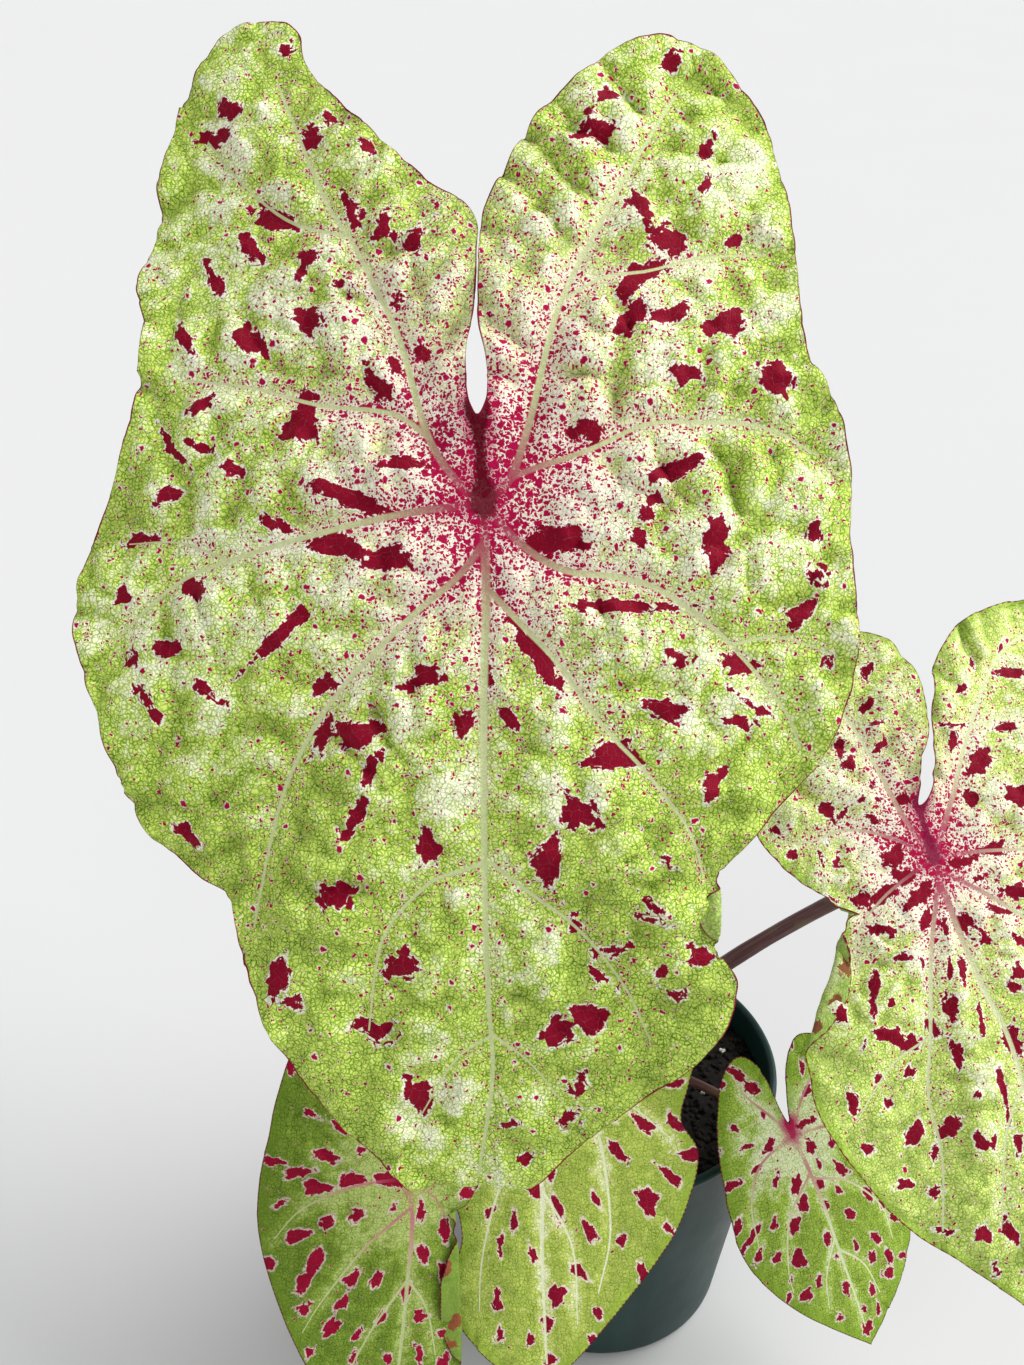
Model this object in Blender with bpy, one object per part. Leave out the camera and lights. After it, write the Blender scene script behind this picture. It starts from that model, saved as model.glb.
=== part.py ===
"""A spotted caladium growing in a round nursery pot.

Five waved heart-shaped leaves, each a blade on its own stalk, rise from one tuber in the potting soil of a
small tapered pot. Sizes in the tables are millimetres and degrees; the finished objects are in metres, with
+Z up and the origin at the centre of the pot's underside. The big leaf hangs toward -Y.
"""

import math
import random
from dataclasses import dataclass

import bmesh
import bpy
import numpy as np
from mathutils import Vector
from mathutils.geometry import delaunay_2d_cdt

MM = 0.001
GAP = 0.3  # left between pieces that touch
BLADE_THICKNESS = 0.8

POT_HEIGHT = 89.0
POT_RIM_RADIUS = 52.5
POT_MOUTH_RADIUS = 51.3  # outside of the wall just below the rim
POT_BASE_RADIUS = 39.3
POT_WALL = 1.4
POT_FLOOR = 1.8
POT_RIM_DEPTH = 3.2
POT_CORNER = 3.0
POT_CHAMFER = 0.9
POT_INNER_CORNER = 4.5  # height of the inside corner above the bench
POT_FLOOR_RADIUS = 35.7
POT_RIM_PROFILE = ((-0.3, -2.7), (0.0, -1.8), (-0.2, -0.6), (-0.9, 0.0), (-1.9, -0.3), (-2.4, -1.2))
POT_SIDES = 48
DRAIN_COUNT = 6
DRAIN_RADIUS = 4.0
DRAIN_RING_RADIUS = 28.0
DRAIN_CLEAR = 2.0

SOIL_TOP = 80.0
SOIL_DOME = 2.0  # the middle stands this much above the edge
SOIL_RELIEF = 0.7
SOIL_EDGE_BAND = 2.0  # left level beside the pot's wall
SOIL_RINGS = (9.0, 18.0, 27.0, 36.0, 43.0)
SOIL_SEED = 7

TUBER_CROWN = 70.0  # height of the flat crown that the stalks stand on
TUBER_WAIST = -5.0  # where it is widest, from its crown
TUBER_SIDES = 24
TUBER_PROFILE = ((0.0, -18.0), (8.0, -17.4), (14.0, -14.0), (17.0, -9.0), (17.2, TUBER_WAIST), (15.6, -1.2),
                 (14.6, 0.0))

MARGIN_PACE = 0.65  # spacing of the margin's points, as a share of a blade's cell
MARGIN_CLEAR = 0.6  # how near the margin an inner point may lie, as a share of a blade's cell
CURVE_STEPS = 8
FOLD_POWER = 2.5  # how fast a fold grows from the stalk to the margin
FOLD_LIMIT = 1.2

STALK_POINTS = 13
STALK_STRAIGHT = 16.0  # length of the upright foot, from the tuber to just above the soil
STALK_SQUARE = 1.5  # last length of a stalk, square to the blade
STALK_END_GAP = 0.36  # from a blade's flat frame, which its lower face bends a little below
FOOT_SHARE = 0.56  # a stalk's radius over its thickness, in the soil and at the blade
HEAD_SHARE = 0.44
HOLE_SIDES = 12
HOLE_DEPTH = 0.4  # how far a stalk's hole is cut below the tuber's crown
HOLE_CLEAR = 8.0
CREASE = 40.0  # degrees; sharper edges stay sharp


@dataclass(frozen=True)
class Stalk:
    """A leaf stalk: where its foot stands, how thick it is and how it arches."""

    foot: tuple  # across and back from the pot's axis
    thickness: float
    rise: float  # how far it keeps rising from the soil before it leans over
    reach: float  # how far behind the blade it turns to meet it


@dataclass(frozen=True)
class Leaf:
    """A blade: where its stalk meets it, how it hangs, how it bends and its outline."""

    name: str
    place: tuple
    heading: float  # compass turn of the midrib, 0 toward -Y and 90 toward +X
    droop: float  # slope of the midrib below level
    roll: float  # turn about the midrib
    bend: tuple  # radii of the tip half, the lobe half, the left half and the right half
    reach: float  # distance from the stalk at which a fold has its full lift
    folds: tuple  # each fold of the margin: its angle, its spread in degrees and its lift
    cell: float  # side of the blade's triangles
    outline: tuple  # across and up the blade from the stalk, from the tip round by the right lobe
    stalk: Stalk


LEAVES = (
    Leaf(
        name="leaf_front",
        place=(-34.1, -57.0, 302.8), heading=-3.0, droop=56.0, roll=0.0,
        bend=(300.0, 260.0, 220.0, 220.0), reach=100.0,
        folds=((-62, 9, 4), (-42, 9, -4), (-15, 9, 3), (2, 10, -4), (28, 10, 4), (50, 12, -3), (75, 9, 3),
               (118, 10, 4), (140, 9, -4), (158, 8, 4), (180, 10, -3), (205, 10, 4), (228, 9, -4),
               (246, 9, 3)),
        cell=7.5,
        outline=((0, -150), (15, -142), (29, -132), (43, -121), (53, -110), (56, -99), (53, -92), (50, -87),
                 (50.6, -81), (53, -74), (62, -63), (72, -51), (78, -36), (79, -20), (77, -5), (77, 10), (73, 26),
                 (67, 35), (65, 49), (64, 67), (61, 81), (57, 92), (49, 102), (39, 107), (28, 105), (17, 96), (8, 86),
                 (2, 74), (-2, 64), (-2.7, 54), (-2.6, 40), (-0.6, 31), (0, 22), (-1.8, 18), (-4, 23),
                 (-4.6, 32), (-3.6, 41), (-3.5, 54), (-5, 63), (-15, 71), (-32, 87), (-43, 99), (-46, 108),
                 (-53, 111), (-62, 109), (-70, 100), (-74, 88), (-77, 76), (-76, 62), (-79, 50), (-76, 38),
                 (-77, 22), (-82, 5), (-88, -12), (-90, -23), (-87, -35), (-83, -45), (-80, -57), (-73, -70),
                 (-63, -78), (-54, -84), (-50, -97), (-43, -115), (-31, -133), (-14, -147)),
        stalk=Stalk(foot=(-4.0, 4.0), thickness=5.0, rise=110.0, reach=70.0),
    ),
    Leaf(
        name="leaf_right",
        place=(78.5, -35.4, 194.5), heading=24.0, droop=46.0, roll=-12.0,
        bend=(260.0, 180.0, 180.0, 180.0), reach=60.0,
        folds=((-70, 10, -3), (-48, 10, 3), (-22, 11, -3), (20, 10, 3), (44, 9, -3), (135, 10, -3), (165, 10, 3),
               (205, 9, -4), (232, 9, 3), (252, 8, -2)),
        cell=7.0,
        outline=((3, -124), (15, -113), (27, -99), (38, -83), (46, -66), (49, -49), (45, -34), (37, -21),
                 (36, -8), (44, 4), (57, 14), (69, 27), (74, 42), (69, 54), (57, 60), (43, 60), (31, 57),
                 (21, 50), (14.2, 38), (10.6, 29), (7.5, 21), (3.6, 15), (0.8, 14), (2.6, 19), (5.4, 25),
                 (9.4, 30), (12.6, 38), (13.5, 49), (10, 58), (2, 63), (-9, 64), (-21, 59), (-31, 50),
                 (-38, 38), (-41, 25), (-40, 14), (-35, 4), (-29, -3), (-26.6, -10), (-30.3, -16.3),
                 (-35, -22.5), (-39.4, -29), (-43, -35), (-46, -42), (-47, -54), (-42, -67),
                 (-32, -85), (-17, -102), (-6, -115)),
        stalk=Stalk(foot=(7.0, 0.0), thickness=4.6, rise=29.4, reach=38.3),
    ),
    Leaf(
        name="leaf_small_right",
        place=(50.8, -40.0, 100.0), heading=34.0, droop=57.0, roll=-8.0,
        bend=(200.0, 120.0, 120.0, 120.0), reach=35.0,
        folds=((-35, 20, 1.0), (20, 20, -0.8), (160, 20, -0.8), (215, 20, 1.0)),
        cell=6.0,
        outline=((10, -73), (20, -62), (28, -52), (33, -40), (35, -26), (35, -12), (32, 2), (27, 14), (19, 22),
                 (12, 24.5), (6, 20.5), (2.6, 13), (1.0, 7), (0, 3.5), (-1.2, 8), (-2, 15), (-3.4, 22),
                 (-7, 26), (-12, 24.5), (-18, 17), (-22.5, 5), (-24.5, -9), (-25, -24), (-20.5, -37),
                 (-12, -50), (-1, -62)),
        stalk=Stalk(foot=(10.0, -7.0), thickness=2.8, rise=19.0, reach=14.0),
    ),
    Leaf(
        name="leaf_small_front",
        place=(-23.0, -47.5, 136.4), heading=3.0, droop=44.0, roll=-8.0,
        bend=(160.0, 120.0, 110.0, 120.0), reach=45.0,
        folds=((-50, 14, 1.5), (-24, 10, -3), (-8, 12, 2), (186, 12, 1.5), (212, 10, -1.5), (235, 10, 1.5)),
        cell=6.0,
        outline=((-4, -84), (5, -79), (17, -67), (31, -51), (38, -40), (42.5, -26), (38.5, -17), (41, -8),
                 (44, 2), (44, 16), (38, 28), (28, 34), (18, 34), (9.5, 27), (4.4, 18), (1.8, 10), (0, 6),
                 (-1.8, 10), (-4.6, 19), (-9, 28), (-16, 32), (-23, 30), (-28, 22), (-30, 10), (-29, -3),
                 (-26, -16), (-24, -29), (-21, -44), (-25, -55), (-25.5, -63), (-21.5, -71), (-13, -80)),
        stalk=Stalk(foot=(-1.0, -6.0), thickness=3.4, rise=22.0, reach=22.0),
    ),
    Leaf(
        name="leaf_small_left",
        place=(-54.9, -77.3, 125.0), heading=-6.0, droop=60.0, roll=22.0,
        bend=(200.0, 120.0, 120.0, 60.0), reach=40.0,
        folds=((-60, 12, -1.5), (-38, 12, 2), (10, 14, -1.5), (170, 16, 1.5), (205, 16, -1.5), (235, 12, 1.5)),
        cell=6.0,
        outline=((1, -84), (10, -75), (17, -65), (19, -54), (16.8, -43), (14.3, -31.5), (13, -21), (15, -13),
                 (20, -5), (24, 5), (24.5, 17), (20, 27), (13, 31), (7.5, 27), (3.8, 18), (1.6, 9), (0, 5),
                 (-1.8, 9), (-5, 20), (-10, 30), (-17, 35.5), (-25, 35.5), (-31, 28), (-35, 12), (-37, -4),
                 (-35, -19), (-29, -36), (-21, -52), (-12, -67), (-4, -78)),
        stalk=Stalk(foot=(-10.0, -2.0), thickness=3.4, rise=14.0, reach=24.0),
    ),
)


def clear_scene():
    """Remove every object that the file already holds."""
    for thing in list(bpy.data.objects):
        bpy.data.objects.remove(thing, do_unlink=True)


def finish(name, hex_colour, roughness):
    """Make a plain finish of one colour."""
    material = bpy.data.materials.new(name)
    material.use_nodes = True
    shader = material.node_tree.nodes["Principled BSDF"]
    channels = [int(hex_colour[i:i + 2], 16) / 255 for i in (0, 2, 4)]
    linear = [c / 12.92 if c <= 0.04045 else ((c + 0.055) / 1.055) ** 2.4 for c in channels]
    shader.inputs["Base Color"].default_value = (*linear, 1.0)
    shader.inputs["Roughness"].default_value = roughness
    return material


def add_mesh(name, points_mm, faces, material=None, smooth=True):
    """Add an object from points in millimetres and faces."""
    mesh = bpy.data.meshes.new(name)
    mesh.from_pydata([tuple(c * MM for c in point) for point in points_mm], [], faces)
    mesh.update()
    if smooth:
        mesh.shade_smooth()
        mesh.set_sharp_from_angle(angle=math.radians(CREASE))
    thing = bpy.data.objects.new(name, mesh)
    bpy.context.scene.collection.objects.link(thing)
    if material:
        mesh.materials.append(material)
    return thing


def turned(name, profile, sides, material=None):
    """Turn a profile of radius and height about Z. It runs from the axis at the bottom to the axis at the top."""
    points = [(0.0, 0.0, profile[0][1])]
    for radius, height in profile[1:-1]:
        for side in range(sides):
            turn = 2 * math.pi * side / sides
            points.append((radius * math.cos(turn), radius * math.sin(turn), height))
    points.append((0.0, 0.0, profile[-1][1]))
    rings = len(profile) - 2
    last = len(points) - 1
    faces = []
    for side in range(sides):
        after = (side + 1) % sides
        faces.append((0, 1 + after, 1 + side))
        for ring in range(rings - 1):
            low = 1 + ring * sides
            high = low + sides
            faces.append((low + side, low + after, high + after, high + side))
        top = 1 + (rings - 1) * sides
        faces.append((top + side, top + after, last))
    return add_mesh(name, points, faces, material)


def as_cutter(thing):
    """Hide an object that only cuts others."""
    thing.hide_render = True
    thing.display_type = "WIRE"
    return thing


def cut(thing, cutters):
    """Cut a collection of hidden shapes out of an object."""
    group = bpy.data.collections.new(thing.name + "_cutters")
    for cutter in cutters:
        group.objects.link(as_cutter(cutter))
    boolean = thing.modifiers.new("cut", "BOOLEAN")
    boolean.operation = "DIFFERENCE"
    boolean.operand_type = "COLLECTION"
    boolean.collection = group
    boolean.solver = "EXACT"


def pot_inner_radius(height):
    """Radius of the pot's inner wall at a height."""
    share = (height - POT_CORNER) / (POT_HEIGHT - POT_RIM_DEPTH - POT_CORNER)
    return POT_BASE_RADIUS + share * (POT_MOUTH_RADIUS - POT_BASE_RADIUS) - POT_WALL


def make_pot(material):
    """The tapered pot, with a rolled rim and drain holes in its floor."""
    rim_low = POT_HEIGHT - POT_RIM_DEPTH
    profile = (
        (0.0, 0.0),
        (POT_BASE_RADIUS - POT_CORNER, 0.0),
        (POT_BASE_RADIUS - POT_CHAMFER, POT_CHAMFER),
        (POT_BASE_RADIUS, POT_CORNER),
        (POT_MOUTH_RADIUS, rim_low),
        *((POT_RIM_RADIUS + out, POT_HEIGHT + rise) for out, rise in POT_RIM_PROFILE),
        (pot_inner_radius(rim_low), rim_low),
        (pot_inner_radius(POT_INNER_CORNER), POT_INNER_CORNER),
        (POT_FLOOR_RADIUS, POT_FLOOR),
        (0.0, POT_FLOOR),
    )
    pot = turned("pot", profile, POT_SIDES, material)
    drains = []
    for index in range(DRAIN_COUNT):
        turn = 2 * math.pi * (index + 0.5) / DRAIN_COUNT
        centre = (DRAIN_RING_RADIUS * math.cos(turn), DRAIN_RING_RADIUS * math.sin(turn))
        drains.append(post(f"drain_{index + 1}", centre, DRAIN_RADIUS, -DRAIN_CLEAR, POT_FLOOR + DRAIN_CLEAR))
    cut(pot, drains)


def post(name, centre, radius, low, high):
    """An upright cylinder in millimetres."""
    profile = ((0.0, low), (radius, low), (radius, high), (0.0, high))
    thing = turned(name, profile, HOLE_SIDES)
    thing.location = (centre[0] * MM, centre[1] * MM, 0.0)
    return thing


def make_tuber(material):
    """The flat tuber that the stalks stand on."""
    profile = [(radius, TUBER_CROWN + height) for radius, height in TUBER_PROFILE]
    turned("tuber", (*profile, (0.0, TUBER_CROWN)), TUBER_SIDES, material)


def make_soil(material):
    """The filling of potting soil, with the tuber's pocket and a plain hole for each stalk."""
    chance = random.Random(SOIL_SEED)
    low = POT_FLOOR + GAP
    edge = pot_inner_radius(SOIL_TOP) - 2 * GAP
    corner = POT_INNER_CORNER + GAP
    profile = [(0.0, low), (POT_FLOOR_RADIUS - 2 * GAP, low), (pot_inner_radius(corner) - 2 * GAP, corner),
               (edge, SOIL_TOP)]
    for radius in reversed(SOIL_RINGS):
        profile.append((radius, SOIL_TOP + SOIL_DOME * (1 - (radius / edge) ** 2)))
    profile.append((0.0, SOIL_TOP + SOIL_DOME))
    soil = turned("soil", profile, POT_SIDES, material)
    for vertex in soil.data.vertices:
        inside = vertex.co.xy.length < (edge - SOIL_EDGE_BAND) * MM
        if inside and vertex.co.z >= SOIL_TOP * MM:
            vertex.co.z += chance.uniform(-SOIL_RELIEF, SOIL_RELIEF) * MM
    pocket = [(0.0, TUBER_CROWN + TUBER_PROFILE[0][1] - GAP)]
    for radius, height in TUBER_PROFILE[1:]:
        pocket.append((radius + 2 * GAP, TUBER_CROWN + height + (GAP if height >= TUBER_WAIST else -GAP)))
    pocket.append((0.0, TUBER_CROWN + GAP))
    cutters = [turned("tuber_pocket", pocket, TUBER_SIDES)]
    for leaf in LEAVES:
        radius = foot_radius(leaf.stalk) / math.cos(math.pi / HOLE_SIDES) + GAP
        cutters.append(post(leaf.name + "_hole", leaf.stalk.foot, radius, TUBER_CROWN - HOLE_DEPTH,
                             SOIL_TOP + HOLE_CLEAR))
    cut(soil, cutters)


def foot_radius(stalk):
    """Radius of a stalk where it stands in the soil."""
    return stalk.thickness * FOOT_SHARE


def blade_frame(leaf):
    """Place, across, up and normal vectors of a blade. Up points to the lobes, away from the tip."""
    heading, droop, roll = (math.radians(angle) for angle in (leaf.heading, leaf.droop, leaf.roll))
    level = Vector((math.sin(heading), -math.cos(heading), 0.0))
    rise = Vector((0.0, 0.0, 1.0))
    midrib = math.cos(droop) * level - math.sin(droop) * rise
    facing = math.sin(droop) * level + math.cos(droop) * rise
    normal = math.cos(roll) * facing + math.sin(roll) * facing.cross(midrib)
    across = normal.cross(midrib)
    return Vector(leaf.place), across, -midrib, normal


def smooth_outline(leaf):
    """Even points along a smooth curve through the outline, which keeps its corner at the tip."""
    points = [Vector(point) for point in leaf.outline]
    points = [2 * points[0] - points[1], *points, points[0], 2 * points[0] - points[-1]]
    fine = []
    for before, start, end, after in zip(points, points[1:], points[2:], points[3:]):
        for step in range(CURVE_STEPS):
            t = step / CURVE_STEPS
            fine.append(0.5 * (2 * start + (end - before) * t + (2 * before - 5 * start + 4 * end - after) * t * t
                               + (3 * start - before - 3 * end + after) * t ** 3))
    spans = [(b - a).length for a, b in zip(fine, fine[1:] + fine[:1])]
    count = round(sum(spans) / (leaf.cell * MARGIN_PACE))
    pace = sum(spans) / count
    even, walked = [], 0.0
    for point, span, following in zip(fine, spans, fine[1:] + fine[:1]):
        while len(even) * pace < walked + span and len(even) < count:
            even.append(point.lerp(following, (len(even) * pace - walked) / span))
        walked += span
    return even


def lattice(leaf, margin):
    """Points of a triangular grid inside a blade's margin, with one at the stalk."""
    ring = np.array(margin)
    following = np.roll(ring, -1, axis=0)
    row = leaf.cell * math.sqrt(3) / 2
    low, high = ring.min(axis=0), ring.max(axis=0)
    kept = []
    for j in range(math.floor(low[1] / row), math.ceil(high[1] / row) + 1):
        for i in range(math.floor(low[0] / leaf.cell) - 1, math.ceil(high[0] / leaf.cell) + 1):
            spot = np.array(((i + 0.5 * (j % 2)) * leaf.cell, j * row))
            crosses = (ring[:, 1] > spot[1]) != (following[:, 1] > spot[1])
            rise = np.where(following[:, 1] == ring[:, 1], 1.0, following[:, 1] - ring[:, 1])
            at = ring[:, 0] + (spot[1] - ring[:, 1]) * (following[:, 0] - ring[:, 0]) / rise
            inside = np.count_nonzero(crosses & (spot[0] < at)) % 2 == 1
            if inside and np.hypot(*(ring - spot).T).min() > MARGIN_CLEAR * leaf.cell:
                kept.append(Vector(spot))
    return kept


def blade_height(leaf, across, up):
    """How far the blade stands off its flat frame: its bend, and the folds that wave its margin."""
    tip, lobes, left, right = leaf.bend
    height = -up * up / (2 * (tip if up < 0 else lobes)) - across * across / (2 * (left if across < 0 else right))
    angle = math.degrees(math.atan2(up, across))
    grow = min(math.hypot(across, up) / leaf.reach, FOLD_LIMIT) ** FOLD_POWER
    for centre, spread, lift in leaf.folds:
        away = (angle - centre + 180) % 360 - 180
        height += lift * grow * math.exp(-((away / spread) ** 2))
    return height


def make_blade(leaf, material):
    """One waved blade: the same triangles on its upper and its lower face, joined at the margin."""
    margin = smooth_outline(leaf)
    flat = margin + lattice(leaf, margin)
    edges = [(i, (i + 1) % len(margin)) for i in range(len(margin))]
    spots, _, triangles, *_ = delaunay_2d_cdt(flat, edges, [], 1, 1e-6)
    place, across, up, normal = blade_frame(leaf)
    upper = [place + spot.x * across + spot.y * up + blade_height(leaf, *spot) * normal for spot in spots]
    shell = bmesh.new()
    top = [shell.verts.new(point) for point in upper]
    for triangle in triangles:
        shell.faces.new([top[i] for i in triangle])
    shell.normal_update()
    lower = [vert.co - BLADE_THICKNESS * vert.normal for vert in top]
    shell.verts.index_update()
    rim = [turn_along(edge) for edge in shell.edges if edge.is_boundary]
    shell.free()
    count = len(upper)
    faces = [tuple(triangle) for triangle in triangles]
    faces += [tuple(count + i for i in reversed(triangle)) for triangle in triangles]
    for start, end in rim:
        faces += [(end, start, count + start), (end, count + start, count + end)]
    return add_mesh(leaf.name, upper + lower, faces, material)


def turn_along(edge):
    """Numbers of a boundary edge's two ends, in the order its face runs."""
    loop = edge.link_loops[0]
    return loop.vert.index, loop.link_loop_next.vert.index


def make_stalk(leaf, material):
    """A round stalk: upright in its hole, then arching to meet the blade square on from behind."""
    stalk = leaf.stalk
    place, _, _, normal = blade_frame(leaf)
    foot = Vector((*stalk.foot, TUBER_CROWN + GAP))
    start = foot + Vector((0.0, 0.0, STALK_STRAIGHT))
    end = place - (BLADE_THICKNESS + STALK_END_GAP) * normal
    bar = (start, start + Vector((0.0, 0.0, stalk.rise)), end - stalk.reach * normal, end)
    route = [foot]
    for step in range(STALK_POINTS):
        t = step / (STALK_POINTS - 1)
        route.append((1 - t) ** 3 * bar[0] + 3 * (1 - t) ** 2 * t * bar[1] + 3 * (1 - t) * t * t * bar[2]
                     + t ** 3 * bar[3])
    route.insert(-1, end - STALK_SQUARE * normal)
    curve = bpy.data.curves.new(leaf.name + "_stalk", "CURVE")
    curve.dimensions = "3D"
    curve.bevel_depth = 1.0 * MM
    curve.bevel_resolution = 2
    curve.use_fill_caps = True
    spline = curve.splines.new("POLY")
    spline.points.add(len(route) - 1)
    for index, (point, spot) in enumerate(zip(spline.points, route)):
        share = index / (len(route) - 1)
        point.co = (*(spot * MM), 1.0)
        point.radius = foot_radius(stalk) + share * (stalk.thickness * HEAD_SHARE - foot_radius(stalk))
    curve.materials.append(material)
    thing = bpy.data.objects.new(leaf.name + "_stalk", curve)
    bpy.context.scene.collection.objects.link(thing)


def main():
    """Build the pot, the soil, the tuber and the five leaves."""
    clear_scene()
    make_pot(finish("pot_plastic", "33474A", 0.5))
    make_soil(finish("potting_soil", "1C1713", 0.95))
    make_tuber(finish("tuber_skin", "6A4A32", 0.85))
    blade = finish("leaf_blade", "A9BE6C", 0.45)
    stem = finish("leaf_stalk", "6B444A", 0.5)
    for leaf in LEAVES:
        make_blade(leaf, blade)
        make_stalk(leaf, stem)


main()
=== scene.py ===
"""Looks of the potted caladium: its dressed leaves, stalks, soil and pot, with the floor, light and camera.

Lengths in the tables are millimetres and angles are degrees. The blades repeat the places, bends and folds of
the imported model, and add the relief, the veins, the curled margins and the markings.
"""

import logging
import math
import random
import sys
from dataclasses import dataclass, replace
from enum import Enum, StrEnum
from functools import partial

import bmesh
import bpy
import numpy as np
from mathutils import Matrix, Vector, kdtree, noise
from mathutils.geometry import delaunay_2d_cdt

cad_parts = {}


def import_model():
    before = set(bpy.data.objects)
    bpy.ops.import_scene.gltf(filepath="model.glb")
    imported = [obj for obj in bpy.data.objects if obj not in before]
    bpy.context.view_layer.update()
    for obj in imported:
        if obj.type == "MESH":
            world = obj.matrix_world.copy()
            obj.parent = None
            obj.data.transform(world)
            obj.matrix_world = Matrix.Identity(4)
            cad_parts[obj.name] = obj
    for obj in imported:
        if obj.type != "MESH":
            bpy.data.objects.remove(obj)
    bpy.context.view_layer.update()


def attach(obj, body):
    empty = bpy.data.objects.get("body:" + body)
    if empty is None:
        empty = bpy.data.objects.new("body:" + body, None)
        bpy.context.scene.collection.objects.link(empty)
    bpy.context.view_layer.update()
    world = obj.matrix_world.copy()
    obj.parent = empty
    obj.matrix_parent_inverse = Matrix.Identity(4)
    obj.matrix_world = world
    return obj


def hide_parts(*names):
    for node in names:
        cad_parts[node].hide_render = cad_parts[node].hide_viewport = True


MM = 0.001
BODY = "root"
LOG = logging.getLogger("caladium")

SMOOTH = {"interpolation_type": "SMOOTHSTEP"}
COLOURS = {"data_type": "RGBA"}
PLANE = {"noise_dimensions": "2D"}
PLANE_CELLS = {"voronoi_dimensions": "2D"}


class Node(StrEnum):
    """The kinds of shader node that the finishes use."""

    RANGE = "ShaderNodeMapRange"
    MATH = "ShaderNodeMath"
    MIX = "ShaderNodeMix"
    VECTOR = "ShaderNodeVectorMath"
    NOISE = "ShaderNodeTexNoise"
    CELLS = "ShaderNodeTexVoronoi"
    BUMP = "ShaderNodeBump"
    FIELD = "ShaderNodeAttribute"
    PLACE = "ShaderNodeTexCoord"
    AXES = "ShaderNodeSeparateXYZ"
    CHANNELS = "ShaderNodeSeparateColor"


class Face(Enum):
    """Which face of a blade a vertex lies on."""

    UPPER = 0.0
    LOWER = 1.0


@dataclass(frozen=True)
class Vein:
    """A rib of the blade: its course outwards from the stalk, and its half width at both ends."""

    course: tuple
    start: float = 0.85
    end: float = 0.3


@dataclass(frozen=True)
class Curl:
    """A stretch of margin that rolls over about a fold line, which runs with the blade on its left."""

    first: tuple
    last: tuple
    radius: float
    turn: float


@dataclass(frozen=True)
class Arch:
    """A stalk: where its foot stands in the soil, its thickness, and how it arches to the blade."""

    foot: tuple
    thickness: float
    rise: float
    reach: float


@dataclass(frozen=True)
class Viewpoint:
    """Where the photograph was taken from, its lens and its frame."""

    place: tuple = (-0.0283, -0.3575, 0.4440)  # in metres
    pitch: float = 58.5  # up from straight down
    focal: float = 1600.0  # in pixels of the frame
    frame: tuple = (1024.0, 1365.0)

    def rays(self, pixels: np.ndarray) -> np.ndarray:
        """Give the lines of sight through places in the frame.

        Args:
            pixels: Places in the frame, from its upper left corner.

        Returns:
            The direction of each line.
        """
        across, down = (pixels - np.array(self.frame) / 2).T / self.focal
        rise, level = math.sin(math.radians(self.pitch)), math.cos(math.radians(self.pitch))
        return np.column_stack([across, rise - down * level, -level - down * rise])


@dataclass(frozen=True)
class Sighting:
    """Blotches judged in one view of the photograph.

    Each row has a blotch's middle, length and width in the view's own pixels, and its turn.
    """

    rows: tuple
    corner: tuple = (0.0, 0.0)  # the view's upper left corner, in pixels of the frame
    zoom: float = 1.0


@dataclass(frozen=True)
class Relief:
    """How high a blade's own relief stands, in millimetres, before its leaf's share."""

    puff: float = 2.4  # swell between the ribs
    puff_reach: float = 6.5
    groove: float = 0.3  # beside each rib
    groove_reach: float = 1.6
    pleat: float = 3.3  # between the ridges that run off the ribs
    pleat_base: float = 2.1
    quilt: float = 2.4
    quilt_reach: float = 2.4
    quilt_base: float = 1.2
    fold: float = 1.7
    fold_size: float = 13.0
    small_fold: float = 1.3
    small_fold_size: float = 4.6
    fold_base: float = 0.6
    crisp: float = 0.1
    crisp_size: float = 1.9
    frill: float = 0.9  # wave of the margin
    frill_size: float = 7.0
    frill_reach: float = 5.0


@dataclass(frozen=True)
class Tone:
    """How a blade's green, its specks and its flush follow its form, before its paint's share."""

    green: float = 0.2
    feather_reach: float = 8.0  # beside the big leaf's ribs
    cloud: float = 0.34
    cloud_size: float = 17.0
    small_cloud_size: float = 6.5
    # Painted shade: the next three paint the relief's hollows and creases greener and darker and its crests
    # paler, partly the leaf's own colour and partly painted shade and light.
    hollow_shade: float = 0.36
    crease: float = 0.7
    crease_shade_reach: float = 1.3
    tip: float = 0.1
    tip_sides: float = 0.3
    rim: float = 0.3
    rim_reach: float = 4.0
    heart_speck: float = 0.56
    heart_reach: float = 0.37
    stalk_speck: float = 1.2
    stalk_reach: float = 0.075
    rib_speck: float = 0.62
    rib_speck_reach: float = 2.0
    strewn_speck: float = 0.14
    strewn_size: float = 12.0
    least_speck: float = 0.03
    stalk_flush: float = 0.32
    line_flush: float = 0.32
    rib_flush: float = 0.4
    rib_flush_reach: float = 2.3
    lip_flush: float = 1.2
    lip_reach: float = 2.0


@dataclass(frozen=True)
class LeafPaint:
    """Colours of a living leaf: pale areoles, too small to count, in a green net that deepens and widens."""

    name: str
    areole_pale: str
    areole_green: str
    net_pale: str
    net_green: str
    net_deep: str
    rib: str
    rib_wine: str
    halo: str
    spot: str
    spot_deep: str
    heart: str
    fleck_colour: str
    haze: str
    blush: str
    margin: str
    back: str
    green_bias: float
    speck: float
    fleck: float
    band: float
    feather: float = 0.42  # how much paler the leaf is along its ribs
    cloud: float = 1.0  # how uneven its green is
    jag: float = 1.0  # how far the net's cells notch the blotches
    net: float = 0.9  # width of the smallest cells that show, wider than a real leaf's
    coarse: float = 2.2  # width of the cells between the finest veins


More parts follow.
